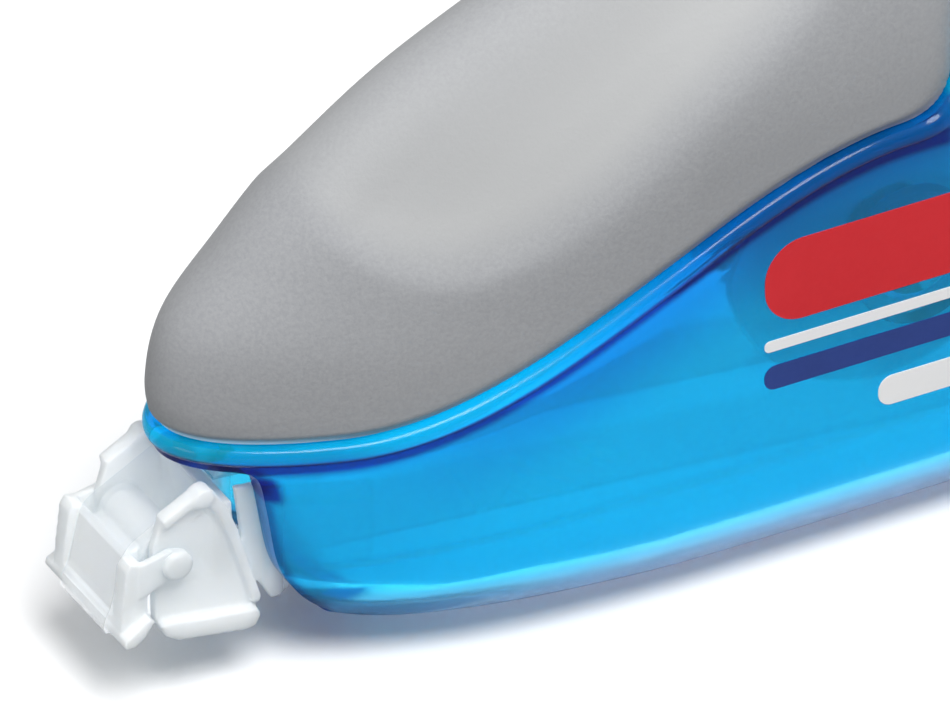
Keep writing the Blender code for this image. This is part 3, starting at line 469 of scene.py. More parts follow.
looks = dict(
    # blueCase: the emission strength lights the painted glow that seamShade feeds in
    blueCase=dict(toneA=(0.0, 0.62, 0.93), toneB=(0.0, 0.57, 0.90), speck=(0.04, 0.80, 1.0),
                  speckAmount=0.3, rough=(0.12, 0.18), bump=0.06, bumpDepth=0.02, grainScale=5200.0,
                  mottleScale=60.0, plain={"Transmission Weight": 0.8, "IOR": 1.35,
                                           "Specular IOR Level": 0.2, "Emission Strength": 0.35}),
    greyGrip=dict(toneA=(0.295, 0.303, 0.318), toneB=(0.275, 0.283, 0.298), speck=(0.45, 0.455, 0.465),
                  speckAmount=0.24, rough=(0.55, 0.68), bump=0.25, bumpDepth=0.05, grainScale=5200.0,
                  mottleScale=50.0, plain={"Sheen Weight": 0.1, "Sheen Roughness": 0.5}),
    # milkyTip: the faint bluish emission is painted light that brightens the tip
    milkyTip=dict(toneA=(0.96, 0.985, 1.0), toneB=(0.93, 0.965, 0.99), speck=(0.97, 0.99, 1.0),
                  speckAmount=0.10, rough=(0.32, 0.44), bump=0.06, bumpDepth=0.02, grainScale=2400.0,
                  mottleScale=160.0, plain={"Subsurface Weight": 0.7, "Subsurface Scale": 0.0016,
                                            "Subsurface Radius": (1.0, 1.05, 1.15),
                                            "IOR": 1.35, "Transmission Weight": 0.28,
                                            "Emission Color": (0.7, 0.9, 1.0, 1.0),
                                            "Emission Strength": 0.045}),
    whiteMoulding=dict(toneA=(0.80, 0.80, 0.79), toneB=(0.74, 0.745, 0.75), speck=(0.86, 0.86, 0.85),
                       speckAmount=0.15, rough=(0.35, 0.5), bump=0.1, bumpDepth=0.02, grainScale=3000.0,
                       mottleScale=120.0),
    whiteFilm=dict(toneA=(0.88, 0.89, 0.89), toneB=(0.84, 0.85, 0.86), speck=(0.92, 0.92, 0.92),
                   speckAmount=0.2, rough=(0.4, 0.55), bump=0.06, bumpDepth=0.01, grainScale=4200.0,
                   mottleScale=200.0, plain={"Transmission Weight": 0.35}),
    thinTape=dict(toneA=(0.95, 0.97, 0.98), toneB=(0.92, 0.95, 0.97), speck=(0.97, 0.98, 0.98),
                  speckAmount=0.1, rough=(0.2, 0.3), bump=0.04, bumpDepth=0.01, grainScale=3000.0,
                  mottleScale=150.0, plain={"Transmission Weight": 0.9, "IOR": 1.15,
                                            "Specular IOR Level": 0.2, "Alpha": 0.5}),
    clearLiner=dict(toneA=(0.90, 0.92, 0.93), toneB=(0.86, 0.88, 0.90), speck=(0.95, 0.95, 0.95),
                    speckAmount=0.1, rough=(0.05, 0.10), bump=0.04, bumpDepth=0.01, grainScale=3000.0,
                    mottleScale=150.0, plain={"Transmission Weight": 0.95, "IOR": 1.2,
                                              "Specular IOR Level": 0.3, "Alpha": 0.45}),
    blackRubber=dict(toneA=(0.03, 0.03, 0.032), toneB=(0.05, 0.05, 0.052), speck=(0.08, 0.08, 0.08),
                     speckAmount=0.2, rough=(0.6, 0.8), bump=0.2, bumpDepth=0.03, grainScale=4000.0,
                     mottleScale=200.0),
    springSteel=dict(toneA=(0.62, 0.62, 0.64), toneB=(0.52, 0.52, 0.54), speck=(0.7, 0.7, 0.7),
                     speckAmount=0.15, rough=(0.2, 0.35), bump=0.05, bumpDepth=0.01, grainScale=3000.0,
                     mottleScale=300.0, plain={"Metallic": 1.0}),
    redPrint=dict(toneA=(0.70, 0.012, 0.022), toneB=(0.64, 0.010, 0.018), speck=(0.76, 0.03, 0.04),
                  speckAmount=0.15, rough=(0.3, 0.4), bump=0.05, bumpDepth=0.01, grainScale=3600.0,
                  mottleScale=140.0),
    navyPrint=dict(toneA=(0.012, 0.045, 0.26), toneB=(0.010, 0.036, 0.21), speck=(0.03, 0.07, 0.32),
                   speckAmount=0.15, rough=(0.3, 0.4), bump=0.05, bumpDepth=0.01, grainScale=3600.0,
                   mottleScale=140.0),
    whitePrint=dict(toneA=(0.92, 0.92, 0.92), toneB=(0.88, 0.89, 0.90), speck=(0.95, 0.95, 0.95),
                    speckAmount=0.15, rough=(0.3, 0.4), bump=0.05, bumpDepth=0.01, grainScale=3600.0,
                    mottleScale=140.0),
)
finishes = {name: finishMaterial(name, look) for name, look in looks.items()}


def addGroup(mat, group):  # puts a group on Object coordinates beside the shader
    tree = mat.node_tree
    node = tree.nodes.new("ShaderNodeGroup")
    node.node_tree = group
    place = tree.nodes.new("ShaderNodeTexCoord")
    tree.links.new(place.outputs["Object"], node.inputs["Vector"])
    return node, tree.nodes["Principled BSDF"].inputs, tree.links.new


def addSeamShade(mat):  # goes between the mixed tone and the shader: painted shade into the base colour, painted glow into the emission
    node, sockets, link = addGroup(mat, seamGroup)
    link(sockets["Base Color"].links[0].from_socket, node.inputs["Color"])
    link(node.outputs["Color"], sockets["Base Color"])
    link(node.outputs["Glow"], sockets["Emission Color"])


def addStemFade(mat):
    node, sockets, link = addGroup(mat, stemGroup)
    link(node.outputs["Cover"], sockets["Alpha"])


addSeamShade(finishes["blueCase"])
addStemFade(finishes["milkyTip"])
print("finishes made:", len(finishes))

# grip: where it ends, and how deep its finger rest is
gripShape = dict(
    thick=1.2, inset=0.10, fit=0.08, rear=37.0, rearLean=6.0, rearOver=6.0, corner=2.6, roll=0.28,
    rollWidth=0.7,
    creaseX=[4.4, 5.4, 6.4, 7.4, 9.9, 12.1, 15.4, 19.2, 24.2, 29.5, 32.2, 38.0],
    creaseZ=[15.5, 13.4, 11.45, 10.05, 8.25, 7.7, 8.2, 9.8, 13.4, 16.9, 19.4, 24.1],
)
fingerRest = dict(
    depth=1.2, reach=6.8, softFront=0.28, softBack=0.55, softFrom=12.0, softRun=12.0,
    highFrom=10.0, highMost=2.0, highSoft=0.4, highEnd=8.0, highRun=6.0,
    frontFrom=3.8, frontRun=3.4, frontLean=0.3, frontGrow=0.9, backFrom=29.0, backRun=8.0,
    ridge=0.2, ridgeRun=5.4,
)
recess = gripShape["inset"] + gripShape["thick"] + gripShape["fit"]


def zoneReach(x, z):
    # distance inside the grip's patch: height over the seam and room ahead of the rear edge,
    # the lesser of the two with a rounded change between them
    step = 0.05
    slope = (seamHeight(x + step) - seamHeight(x - step)) / (2 * step)
    over = (z - seamHeight(x)) / np.sqrt(1 + slope**2)
    lowZ = seamHeight(np.array(gripShape["rear"]))
    t = np.clip((z - lowZ) / (crestZ + gripShape["rearOver"] - lowZ), 0.0, None)
    ahead = gripShape["rear"] + gripShape["rearLean"] * t**2 - x
    k = gripShape["corner"]
    h = np.clip(0.5 + 0.5 * (ahead - over) / k, 0.0, 1.0)
    return ahead * (1 - h) + over * h - k * h * (1 - h)


zoneCore = (20.0, 27.0)
zoneSearch = dict(reach=60.0, halvings=34, turns=480)


def zoneOutline(inside, angle):  # edge of the patch found outwards from a point within it, by halving
    low, high = np.zeros_like(angle), np.full_like(angle, zoneSearch["reach"])
    for step in range(zoneSearch["halvings"]):
        mid = (low + high) / 2
        within = zoneReach(zoneCore[0] + mid * np.cos(angle), zoneCore[1] + mid * np.sin(angle)) > inside
        low, high = np.where(within, mid, low), np.where(within, high, mid)
    return np.stack([zoneCore[0] + low * np.cos(angle), zoneCore[1] + low * np.sin(angle)], axis=1)


fullTurn = np.linspace(0.0, 2 * math.pi, zoneSearch["turns"], endpoint=False)


def restReach(x, z):  # height over the crease as a share of the rest's reach, eased in at the crease
    g, r = gripShape, fingerRest
    high = np.clip(z - rimZ - r["highFrom"], 0.0, None)
    soft = r["softFront"] + (r["softBack"] - r["softFront"]) * smooth((x - r["softFrom"]) / r["softRun"])
    nose = 1 - smooth((x - r["highEnd"]) / r["highRun"])
    soft = soft + r["highSoft"] * np.clip(high, 0.0, r["highMost"]) * nose
    crease = rimZ + hermite(g["creaseX"], g["creaseZ"], x)
    return np.logaddexp(0.0, (z - crease) / soft) * soft / r["reach"], high


def restDepth(x, y, z):
    # finger rest: t e^(1-t) above the crease, so it drops at the crease and runs out to the crown
    r = fingerRest
    t, high = restReach(x, z)
    front = (x - r["frontFrom"] - r["frontLean"] * high) / (r["frontRun"] + r["frontGrow"] * high)
    ends = smooth(front) * (1 - smooth((x - r["backFrom"]) / r["backRun"]))
    ends = ends * smooth((np.abs(y) - r["ridge"]) / r["ridgeRun"])
    return r["depth"] * t * np.exp(1 - t) * ends


def gripDepth(x, y, z):
    g = gripShape
    edge = 1 - smooth((zoneReach(x, z) - g["fit"]) / g["rollWidth"])
    return g["inset"] + g["roll"] * edge**2 + restDepth(x, y, z)


def caseInside(x, y, z):  # depth of the cavity, with the wall thicker under and round the grip
    under = smooth((zoneReach(x, z) + caseForm["thickAhead"]) / caseForm["thickRun"])
    return caseForm["wall"] + (recess + restDepth(x, y, z)) * under


rimMesh = dict(rows=70, frontShares=(-3.0, 8.0, 2200), rearShares=(6.5, 10.5, 1200), panelRows=88,
               length=900, ring=20)


def rimLoop(count):
    # middle line of the rim: where the skin lies just outside the patch, up one side and back by the other
    off = -caseForm["rimRadius"]
    rows, panelRows = rimMesh["rows"], rimMesh["panelRows"]
    turn = np.linspace(0.0, math.pi / 2, rows)
    sides = []
    for span, sign in ((rimMesh["frontShares"], 1), (rimMesh["rearShares"], -1)):
        shares = np.linspace(*span)
        grid = flankAt(np.broadcast_to(shares, (rows, len(shares))), turn[:, None], np.zeros((rows, 1)))
        reach = (zoneReach(grid[..., 0], grid[..., 2]) - off) * sign
        first = np.argmax(reach > 0, axis=1)
        before, after = reach[np.arange(rows), first - 1], reach[np.arange(rows), first]
        sides.append(shares[first - 1] + (shares[1] - shares[0]) * before / (before - after))
    sink = caseForm["rimDeep"] - caseForm["rimProud"]
    front, rear = (flankAt(s, turn, np.full(rows, sink)) for s in sides)
    frontOut, rearOut = (flankAt(s, turn, np.zeros(rows)) - flankAt(s, turn, np.ones(rows)) for s in sides)
    ends = [math.atan2(p[-1][2] - zoneCore[1], p[-1][0] - zoneCore[0]) for p in (front, rear)]
    panel = zoneOutline(off, np.linspace(*ends, panelRows + 2)[1:-1])
    wide = np.full(panelRows, caseForm["halfWidth"] - sink)
    panel = np.stack([panel[:, 0], wide, panel[:, 1]], axis=1)
    line = np.concatenate([front, panel, rear[::-1]])
    out = np.concatenate([frontOut, np.broadcast_to([0.0, 1.0, 0.0], (panelRows, 3)), rearOut[::-1]])
    mirror = np.array([1.0, -1.0, 1.0])
    line = np.concatenate([line, line[-2:0:-1] * mirror, line[:1]])
    out = np.concatenate([out, out[-2:0:-1] * mirror, out[:1]])
    run = np.concatenate([[0.0], np.cumsum(np.linalg.norm(np.diff(line, axis=0), axis=1))])
    at = np.linspace(0.0, run[-1], count, endpoint=False)
    line, out = (np.stack([np.interp(at, run, v[:, k]) for k in range(3)], axis=1) for v in (line, out))
    along = np.roll(line, -2, axis=0) - np.roll(line, 2, axis=0)
    along /= np.linalg.norm(along, axis=1)[:, None]
    out -= along * np.sum(out * along, axis=1)[:, None]
    return line, out / np.linalg.norm(out, axis=1)[:, None], along


def makeRim():  # oval section carried round the rim loop
    length, n = rimMesh["length"], rimMesh["ring"]
    line, out, along = rimLoop(length)
    a = np.arange(n) * 2 * math.pi / n
    up = np.cross(along, out)
    verts = line[:, None] + out[:, None] * (caseForm["rimDeep"] * np.cos(a))[None, :, None]
    verts = verts + up[:, None] * (caseForm["rimTall"] * np.sin(a))[None, :, None]
    ring = np.arange(n)
    faces = np.concatenate([gridFaces(length, n), stripFaces(ring + (length - 1) * n, ring)])
    return makeObject("rim", verts.reshape(-1, 3), faces)


def mouthOutline():  # everything under the visor and ahead of the slanting mouth edge
    steps = np.arange(len(mouth["drop"]))
    along = np.linspace(0.0, len(steps) - 1.0, mouth["steps"])
    edge = np.stack([hermite(steps, mouth["edgeX"], along),
                     mouth["visor"] - hermite(steps, mouth["drop"], along)], axis=1)
    farX, lowZ = mouth["farX"], mouth["lowZ"]
    return np.concatenate([[(farX, mouth["visor"])], edge, [(mouth["chinX"], lowZ), (farX, lowZ)]])


# pegs and sockets inside the halves: places, radii and inner ends as y, bores on the left half
axleFit = dict(supply=(55.9518, 17.565), takeup=(35.9, 14.4), shoulderR=3.3, shoulderEnd=4.4, axleR=2.0,
               axleEnd=-5.9, socketEnd=-5.0, boreR=2.3, boreEnd=-3.9)
snapFit = dict(places=[(42.5, 30.5), (20.0, 20.5)], postR=2.0, postEnd=0.3, pegR=0.9, pegEnd=-1.8,
               socketEnd=0.0, boreR=1.1, boreEnd=0.6)
rollerPeg = dict(place=(45.5, 3.75), radius=0.6, end=-2.6)
cutter = dict(across=(-12.0, 12.0), box=[(-90, -90), (160, -90), (160, 90), (-90, 90)], side=40.0,
              pegOut=9.0, boreOver=0.1)


def caseFittings(side):
    pieces, bores = [], []
    for place in (axleFit["supply"], axleFit["takeup"]):
        if side > 0:
            pieces += [(place, axleFit["shoulderR"], axleFit["shoulderEnd"]),
                       (place, axleFit["axleR"], axleFit["axleEnd"])]
        else:
            pieces.append((place, axleFit["shoulderR"], axleFit["socketEnd"]))
            bores.append((place, axleFit["boreR"], axleFit["boreEnd"]))
    for place in snapFit["places"]:
        if side > 0:
            pieces += [(place, snapFit["postR"], snapFit["postEnd"]),
                       (place, snapFit["pegR"], snapFit["pegEnd"])]
        else:
            pieces.append((place, snapFit["postR"], snapFit["socketEnd"]))
            bores.append((place, snapFit["boreR"], snapFit["boreEnd"]))
    if side > 0:
        pieces.append((rollerPeg["place"], rollerPeg["radius"], rollerPeg["end"]))
    return pieces, bores


def caseBody():
    body = fullForm("caseBody", fineness["body"], lambda x, y, z: np.zeros_like(x))
    combine(body, makeRim(), "UNION")
    seat = prism("gripSeat", zoneOutline(0.0, fullTurn), *cutter["across"])
    seatFloor = fullForm("seatFloor", fineness["inner"], lambda x, y, z: recess + restDepth(x, y, z))
    combine(seat, seatFloor, "DIFFERENCE")
    combine(body, seat, "DIFFERENCE")
    combine(body, fullForm("cavity", fineness["inner"], caseInside), "DIFFERENCE")
    combine(body, prism("mouthCut", mouthOutline(), *cutter["across"]), "DIFFERENCE")
    return body


def caseHalf(name, body, wallCore, side):
    half = bpy.data.objects.new(name, body.data.copy())
    scene.collection.objects.link(half)
    cut = sorted((-side * cutter["side"], side * caseForm["partGap"]))
    combine(half, prism("otherHalf", cutter["box"], *cut), "DIFFERENCE")
    pieces, bores = caseFittings(side)
    for place, radius, end in pieces:
        peg = prism("peg", ringPoints(place, radius), *sorted((end, side * cutter["pegOut"])))
        combine(peg, wallCore, "INTERSECT", keep=True)
        combine(half, peg, "UNION")
    for place, radius, end in bores:
        reach = -caseForm["halfWidth"] + caseForm["wall"] + cutter["boreOver"]
        combine(half, prism("bore", ringPoints(place, radius), *sorted((end, reach))), "DIFFERENCE")
    shade(half, finishes["blueCase"], 40)
    return half


body = caseBody()
halfWall = caseForm["wall"] / 2
wallCore = fullForm("wallCore", fineness["core"], lambda x, y, z: caseInside(x, y, z) - halfWall)
for name, node, side in (("leftCase", "case_left", -1), ("rightCase", "case_right", 1)):
    settle(caseHalf(name, body, wallCore, side), "case", "blue_translucent", node)
for scrap in (body, wallCore):
    bpy.data.objects.remove(scrap, do_unlink=True)
print("case halves made")

grip = fullForm("greyGrip", fineness["grip"], gripDepth)
combine(grip, prism("gripPatch", zoneOutline(gripShape["fit"], fullTurn), *cutter["across"]), "INTERSECT")
gripSink = gripShape["inset"] + gripShape["thick"]
gripBack = fullForm("gripBack", fineness["inner"], lambda x, y, z: gripSink + restDepth(x, y, z))
combine(grip, gripBack, "DIFFERENCE")
shade(grip, finishes["greyGrip"], 50)


# painted light on the grip: a lighter tone on the finger rest and a near-white painted highlight on the
# lip at the nose
gripPaintedLight = dict(
    restLightPool=(0.41, 0.417, 0.421), lipHighlight=(0.80, 0.815, 0.82), restRise=0.4, crownFrom=0.75, crownRun=1.2,
    crownLoss=0.8, ridgeShare=0.3, ridgeRun=5.0, frontFrom=4.0, frontRun=4.0, lipWide=0.4, lipFrom=1.0,
    lipRun=8.0,
)


def paintGripLight(obj, mat):
    # two shares on each vertex that paint light into the tone: a painted pool of light on the up-facing
    # finger rest and a painted highlight on the thin lip at the nose
    spots = np.empty(len(obj.data.vertices) * 3)
    obj.data.vertices.foreach_get("co", spots)
    x, y, z = (spots.reshape(-1, 3) / mm + [caseForm["midX"], 0.0, 0.0]).T
    g, r = gripPaintedLight, fingerRest
    t = restReach(x, z)[0]
    restLightPool = smooth(t / g["restRise"]) * (1 - g["crownLoss"] * smooth((t - g["crownFrom"]) / g["crownRun"]))
    restLightPool = restLightPool * (g["ridgeShare"] + (1 - g["ridgeShare"]) * smooth(np.abs(y) / g["ridgeRun"]))
    restLightPool = restLightPool * smooth((x - g["frontFrom"]) / g["frontRun"])
    restLightPool = restLightPool * (1 - smooth((x - r["backFrom"]) / r["backRun"]))
    lipHighlight = 1 - smooth((zoneReach(x, z) - gripShape["fit"]) / g["lipWide"])
    lipHighlight = lipHighlight * (1 - smooth((x - g["lipFrom"]) / g["lipRun"]))
    tree = mat.node_tree
    base = tree.nodes["Principled BSDF"].inputs["Base Color"]
    for name, share in (("restLightPool", restLightPool), ("lipHighlight", lipHighlight)):
        obj.data.attributes.new(name, "FLOAT", "POINT").data.foreach_set("value", share)
        mark = addNode(tree, "ShaderNodeAttribute", attribute_name=name)
        tone = tintNode(tree, mark.outputs["Fac"], base.links[0].from_socket, gripPaintedLight[name])
        tree.links.new(tone, base)


paintGripLight(grip, finishes["greyGrip"])
settle(grip, "case", "grip_rubber", "soft_grip")
print("grip made")

# applicator: side outlines as x and z, then how far each reaches across
tipHead = dict(
    core=[(-3.85, 4.3), (-3.73, 5.9), (-3.5, 7.8), (-3.25, 8.15), (-2.75, 8.05), (-2.4, 7.05),
          (-2.4, 5.0), (-3.3, 4.2)],
    coreHalf=3.3,
    foot=[(-3.95, 4.2), (-3.9, 4.5), (-3.5, 4.7), (-2.6, 5.35), (-2.35, 5.15), (-2.85, 4.45), (-3.4, 4.0),
          (-3.83, 4.0)],
    footHalf=3.95,
    channel=[(-5.5, 5.0), (-3.7, 5.0), (-3.45, 5.25), (-3.05, 7.9), (-2.35, 8.6), (-2.35, 9.5),
             (-5.5, 9.5)],
    channelHalf=2.35,
    arm=[(-2.9, 6.2), (-2.9, 7.95), (-1.3, 8.3), (-0.65, 8.15), (-0.3, 7.5), (-0.6, 6.9), (-1.3, 6.7),
         (-2.3, 6.3)],
    armIn=2.98, armOut=3.36,
    web=[(-2.9, 5.6), (-0.95, 6.6), (-0.95, 8.2), (-2.9, 7.6)], webHalf=1.8,
    pivot=(-0.95, 7.5), lugR=1.15, lugHalf=2.2, hole=(0.05, 5.0), voxel=0.07, rounds=6,
)
tipPin = dict(radius=0.45, headR=0.76, headIn=3.2, headOut=3.68, dome=0.26, ring=56)


def joinAll(name, parts):  # several closed bodies put into one mesh, ready to be melted together
    bm = bmesh.new()
    for part in parts:
        bm.from_mesh(part.data)
        bpy.data.objects.remove(part, do_unlink=True)
    mesh = bpy.data.meshes.new(name)
    bm.to_mesh(mesh)
    bm.free()
    obj = bpy.data.objects.new(name, mesh)
    scene.collection.objects.link(obj)
    return obj


def makeHead():
    h = tipHead
    core = prism("core", h["core"], -h["coreHalf"], h["coreHalf"])
    combine(core, prism("channel", h["channel"], -h["channelHalf"], h["channelHalf"]), "DIFFERENCE")
    parts = [core, prism("foot", h["foot"], -h["footHalf"], h["footHalf"]),
             prism("web", h["web"], -h["webHalf"], h["webHalf"]),
             prism("lug", ringPoints(h["pivot"], h["lugR"]), -h["lugHalf"], h["lugHalf"])]
    for side in (-1, 1):
        parts.append(prism("arm", h["arm"], *sorted((side * h["armIn"], side * h["armOut"]))))
    head = joinAll("tipHead", parts)
    softMoulding(head, h["voxel"], h["rounds"])
    play, reach = h["hole"]
    hole = prism("hole", ringPoints(h["pivot"], tipPin["radius"] + play), -reach, reach)
    combine(head, hole, "DIFFERENCE")
    shade(head, finishes["milkyTip"], 80)
    return head


def makePin():  # turned pin: plain shaft, and heads that round over by a quarter circle
    p = tipPin
    a = np.linspace(0.0, math.pi / 2, 8)
    reach = np.concatenate([[p["headIn"]] * 2, p["headOut"] - p["dome"] + p["dome"] * np.sin(a)])
    radius = np.concatenate([[p["radius"], p["headR"]], p["headR"] - p["dome"] + p["dome"] * np.cos(a)])
    y = np.concatenate([-reach[::-1], reach])
    r = np.concatenate([radius[::-1], radius])
    n = p["ring"]
    turn = np.arange(n) * 2 * math.pi / n
    px, pz = tipHead["pivot"]
    ones = np.ones(n)
    verts = np.stack([px + r[:, None] * np.cos(turn), y[:, None] * ones, pz + r[:, None] * np.sin(turn)],
                     axis=-1)
    ring = np.arange(n)
    faces = gridFaces(len(y), n).tolist() + [ring.tolist(), (ring + (len(y) - 1) * n)[::-1].tolist()]
    return makeObject("tipPin", verts.reshape(-1, 3), faces)


wing = dict(
    plate=[(-1.9, 6.2), (-1.95, 8.2), (-1.5, 9.8), (0.1, 10.7), (0.45, 10.95), (0.85, 10.9), (1.15, 10.5),
           (1.8, 9.5), (2.25, 8.3), (2.83, 6.3), (3.42, 4.2), (3.4, 3.7), (3.1, 2.95), (-1.0, 3.4),
           (-1.55, 3.8), (-1.85, 4.5)],
    plateIn=2.36, plateOut=2.9, rimOut=3.18, barOut=3.42, knob=(0.55, 10.5), knobR=0.5,
    edgeRim=[(0.1, 10.72), (0.5, 11.0), (0.9, 10.95), (1.2, 10.55), (1.86, 9.5), (2.3, 8.3), (2.9, 6.3),
             (3.52, 4.15), (3.4, 3.85), (3.05, 4.0), (2.4, 6.2), (1.8, 8.1), (1.35, 9.2), (0.8, 10.0),
             (-0.2, 10.0)],
    topRim=[(-1.55, 9.85), (0.3, 10.85), (0.5, 10.35), (-0.2, 9.95), (-1.4, 9.3)],
    bar=[(3.38, 3.35), (3.12, 2.82), (2.6, 2.72), (-0.9, 3.28), (-1.55, 3.7), (-1.8, 4.3), (-1.6, 4.42),
         (3.2, 3.75)],
    stem=[(2.4, 10.2), (3.3, 10.1), (9.5, 8.7), (9.5, 4.05), (5.4, 4.05), (4.65, 3.55), (4.2, 3.6),
          (3.7, 4.5), (3.0, 5.4)],
    stemIn=2.36, stemOut=2.75, web=[(1.5, 5.5), (2.4, 5.4), (2.2, 9.6), (1.3, 9.9)], guide=(7.0, 4.5),
    guideR=0.45, ring=24, inset=0.1, knobProud=0.12, voxel=0.08, rounds=7,
)


def makeCarrier():
    w = wing
    parts = []
    knob, guide = (ringPoints(w[key], w[key + "R"], w["ring"]) for key in ("knob", "guide"))
    near, webHalf, guideHalf = w["plateIn"], w["plateOut"] - w["inset"], w["stemOut"] - w["inset"]
    for side in (-1, 1):
        for outline, low, high in ((w["plate"], near, w["plateOut"]), (w["edgeRim"], near, w["rimOut"]),
                                   (w["topRim"], near, w["rimOut"]), (w["bar"], near, w["barOut"]),
                                   (w["stem"], w["stemIn"], w["stemOut"]),
                                   (knob, near, w["rimOut"] + w["knobProud"])):
            parts.append(prism("wing", outline, *sorted((side * low, side * high))))
    parts.append(prism("web", w["web"], -webHalf, webHalf))
    parts.append(prism("guide", guide, -guideHalf, guideHalf))
    carrier = joinAll("tipCarrier", parts)
    softMoulding(carrier, w["voxel"], w["rounds"])
    shade(carrier, finishes["milkyTip"], 80)
    return carrier


tipFilm = dict(
    path=[(-2.65, 4.3), (-2.95, 4.1), (-3.35, 3.88), (-3.8, 3.86), (-4.03, 4.02), (-4.08, 4.3),
          (-3.98, 4.75), (-3.72, 5.3), (-3.42, 6.5), (-3.12, 7.75), (-2.7, 8.4), (-1.8, 8.95),
          (-0.4, 9.7), (0.9, 10.4)],
    half=2.1, thick=0.05, steps=160,
)


def makeFilm():  # strip along a smooth side curve, its thickness laid off along the curve's normal
    points = np.array(tipFilm["path"])
    steps = np.arange(len(points))
    along = np.linspace(0.0, len(steps) - 1.0, tipFilm["steps"])
    line = np.stack([hermite(steps, points[:, k], along) for k in (0, 1)], axis=1)
    run = np.gradient(line, axis=0)
    run /= np.linalg.norm(run, axis=1)[:, None]
    side = np.stack([-run[:, 1], run[:, 0]], axis=1) * tipFilm["thick"] / 2
    outline = np.concatenate([line + side, (line - side)[::-1]])
    return prism("tipFilm", outline, -tipFilm["half"], tipFilm["half"])


settle(makeHead(), "tip", "milky_plastic", "tip_head")
pin = makePin()
shade(pin, finishes["milkyTip"], 40)
settle(pin, "case", "milky_plastic", "tip_pin")
settle(makeCarrier(), "case", "milky_plastic", "tip_carrier")
film = makeFilm()
shade(film, finishes["clearLiner"], 40)
settle(film, "tip", "clear_liner", "tip_tape")
print("applicator made")

# plain stripes printed on both side panels
stripes = [
    dict(name="redStripe", finish="redPrint", x=(27.2, 53.0), z=(13.9, 18.3)),
    dict(name="whiteLine", finish="whitePrint", x=(27.2, 49.0), z=(12.5, 13.1)),
    dict(name="navyStripe", finish="navyPrint", x=(27.2, 45.0), z=(10.4, 11.7)),
    dict(name="whiteBar", finish="whitePrint", x=(33.2, 41.0), z=(7.6, 9.2)),
]
printLift = (7.605, 7.64)


def pillOutline(x, z, corner=0.45):  # rectangle with corners of one radius
    r = corner * (z[1] - z[0])
    a = np.linspace(0.0, math.pi / 2, 14)
    middles = [(x[1] - r, z[1] - r), (x[0] + r, z[1] - r), (x[0] + r, z[0] + r), (x[1] - r, z[0] + r)]
    corners = []
    for quarter, (cx, cz) in enumerate(middles):
        turn = a + quarter * math.pi / 2
        corners.append(np.stack([cx + r * np.cos(turn), cz + r * np.sin(turn)], axis=1))
    return np.concatenate(corners)


for stripe in stripes:
    for label, side in (("Left", -1), ("Right", 1)):
        low, high = sorted((side * printLift[0], side * printLift[1]))
        strip = prism(stripe["name"] + label, pillOutline(stripe["x"], stripe["z"]), low, high)
        shade(strip, finishes[stripe["finish"]], 30)
        settle(strip, "case", "white_plastic")
print("stripes made")

cadFinishes = dict(
    drive_gear="whiteMoulding", takeup_gear="whiteMoulding", supply_spool="whiteMoulding",
    takeup_spool="whiteMoulding", feed_roller="whiteMoulding", supply_tape_roll="whiteFilm",
    tape_feed_run="thinTape", liner_roll="clearLiner", liner_return_run="clearLiner",
    clutch_ring="blackRubber", clutch_washer="springSteel", clutch_spring="springSteel",
)
for node, finish in cadFinishes.items():
    for place in nodes[node].material_slots:
        place.material = finishes[finish]
print("inner pieces finished")

# camera, floor and light
shot = dict(target=(13.47, -5.20, 15.05), toCamera=(-0.3956, -0.7286, 0.5592), lens=900.0, width=43.18,
            sensor=36.0, clip=(0.01, 10.0))
aim = (Vector(shot["target"]) - Vector((caseForm["midX"], 0.0, 0.0))) * mm
back = Vector(shot["toCamera"]).normalized()
cameraData = bpy.data.cameras.new("camera")
cameraData.lens, cameraData.sensor_width = shot["lens"], shot["sensor"]
cameraData.clip_start, cameraData.clip_end = shot["clip"]
camera = bpy.data.objects.new("camera", cameraData)
scene.collection.objects.link(camera)
camera.location = aim + back * (shot["width"] * mm * shot["lens"] / shot["sensor"])
camera.rotation_mode = "QUATERNION"
camera.rotation_quaternion = (-back).to_track_quat("-Z", "Y")
scene.camera = camera

studio = dict(
    floorSize=3.0, floorDrop=0.0001, floorRough=0.9, floorSeen=0.93, floorBounce=0.22, floorGloss=0.40,
    floorThrough=0.95,
    skyTop=0.66, skyRim=0.22, skyHigh=0.9, keyPower=2.75, keySize=0.30, keyAt=(-0.05, -0.24, 0.478),
    fillPower=0.16, fillSize=0.15, fillAt=(-0.36, -0.09, 0.06),
)


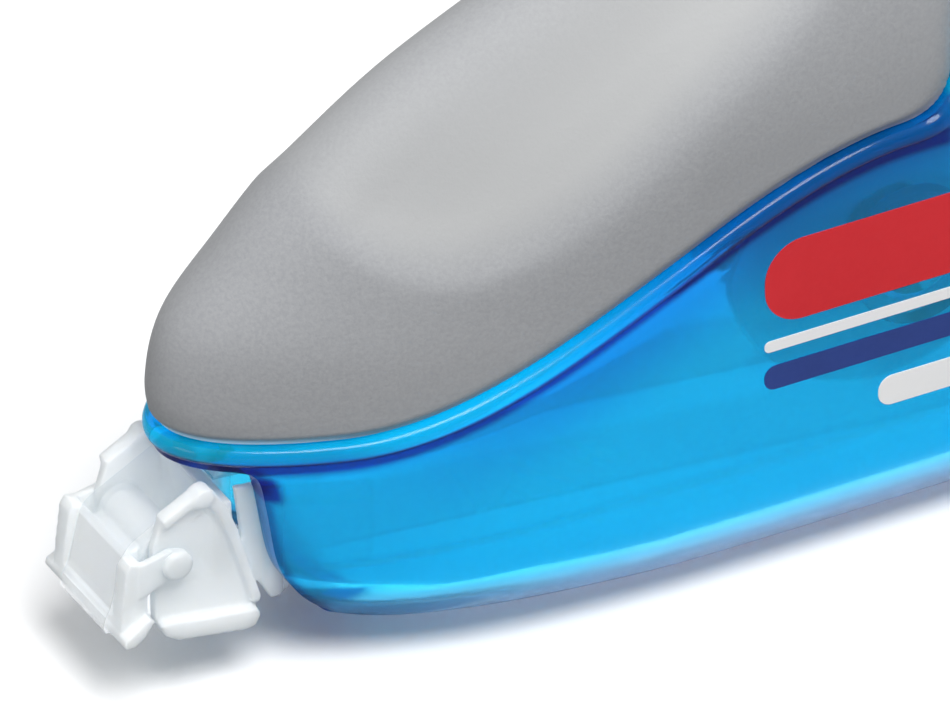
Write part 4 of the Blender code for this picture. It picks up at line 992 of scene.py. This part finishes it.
def makeFloor():  # pale to the eye and through the case, duller as a source of light
    s = studio["floorSize"]
    mesh = bpy.data.meshes.new("floor")
    mesh.from_pydata([(-s, -s, 0), (s, -s, 0), (s, s, 0), (-s, s, 0)], [], [(0, 1, 2, 3)])
    floor = bpy.data.objects.new("floor", mesh)
    floor.location.z = -studio["floorDrop"]
    scene.collection.objects.link(floor)
    mat = bpy.data.materials.new("paleFloor")
    mat.use_nodes = True
    tree = mat.node_tree
    shader = tree.nodes["Principled BSDF"]
    shader.inputs["Roughness"].default_value = studio["floorRough"]
    shader.inputs["Specular IOR Level"].default_value = 0.0
    path = tree.nodes.new("ShaderNodeLightPath")
    seen = addNode(tree, "ShaderNodeMath", operation="MAXIMUM")
    gloss = addNode(tree, "ShaderNodeMix", data_type="RGBA")
    tone = addNode(tree, "ShaderNodeMix", data_type="RGBA")
    gloss.inputs[6].default_value = (studio["floorBounce"],) * 3 + (1.0,)
    gloss.inputs[7].default_value = (studio["floorGloss"],) * 3 + (1.0,)
    tone.inputs[7].default_value = (studio["floorSeen"],) * 3 + (1.0,)
    link = tree.links.new
    link(path.outputs["Is Camera Ray"], seen.inputs[0])
    link(path.outputs["Is Transmission Ray"], seen.inputs[1])
    link(path.outputs["Is Glossy Ray"], gloss.inputs[0])
    link(gloss.outputs[2], tone.inputs[6])
    link(seen.outputs[0], tone.inputs[0])
    link(tone.outputs[2], shader.inputs["Base Color"])
    through = addNode(tree, "ShaderNodeMath", operation="MULTIPLY")
    through.inputs[1].default_value = studio["floorThrough"]
    shader.inputs["Emission Color"].default_value = (1.0, 1.0, 1.0, 1.0)
    link(path.outputs["Is Transmission Ray"], through.inputs[0])
    link(through.outputs[0], shader.inputs["Emission Strength"])
    mesh.materials.append(mat)


def makeSky():  # soft room, brightest overhead
    world = bpy.data.worlds.new("softRoom")
    scene.world = world
    world.use_nodes = True
    tree = world.node_tree
    place = tree.nodes.new("ShaderNodeTexCoord")
    split = tree.nodes.new("ShaderNodeSeparateXYZ")
    link = tree.links.new
    link(place.outputs["Generated"], split.inputs[0])
    rise = rangeNode(tree, split.outputs["Z"], 0.0, studio["skyHigh"], studio["skyRim"], studio["skyTop"])
    tree.nodes["Background"].inputs["Color"].default_value = (1.0, 1.0, 1.0, 1.0)
    link(rise, tree.nodes["Background"].inputs["Strength"])


def makeLight(name, at, size, power):
    data = bpy.data.lights.new(name, "AREA")
    data.shape, data.size, data.energy = "DISK", size, power
    lamp = bpy.data.objects.new(name, data)
    lamp.location = at
    lamp.rotation_mode = "QUATERNION"
    lamp.rotation_quaternion = (aim - Vector(at)).to_track_quat("-Z", "Y")
    scene.collection.objects.link(lamp)


makeFloor()
for lamp in ("key", "fill"):
    makeLight(lamp + "Light", studio[lamp + "At"], studio[lamp + "Size"], studio[lamp + "Power"])
makeSky()
scene.view_settings.view_transform = "Standard"
print("stage set")
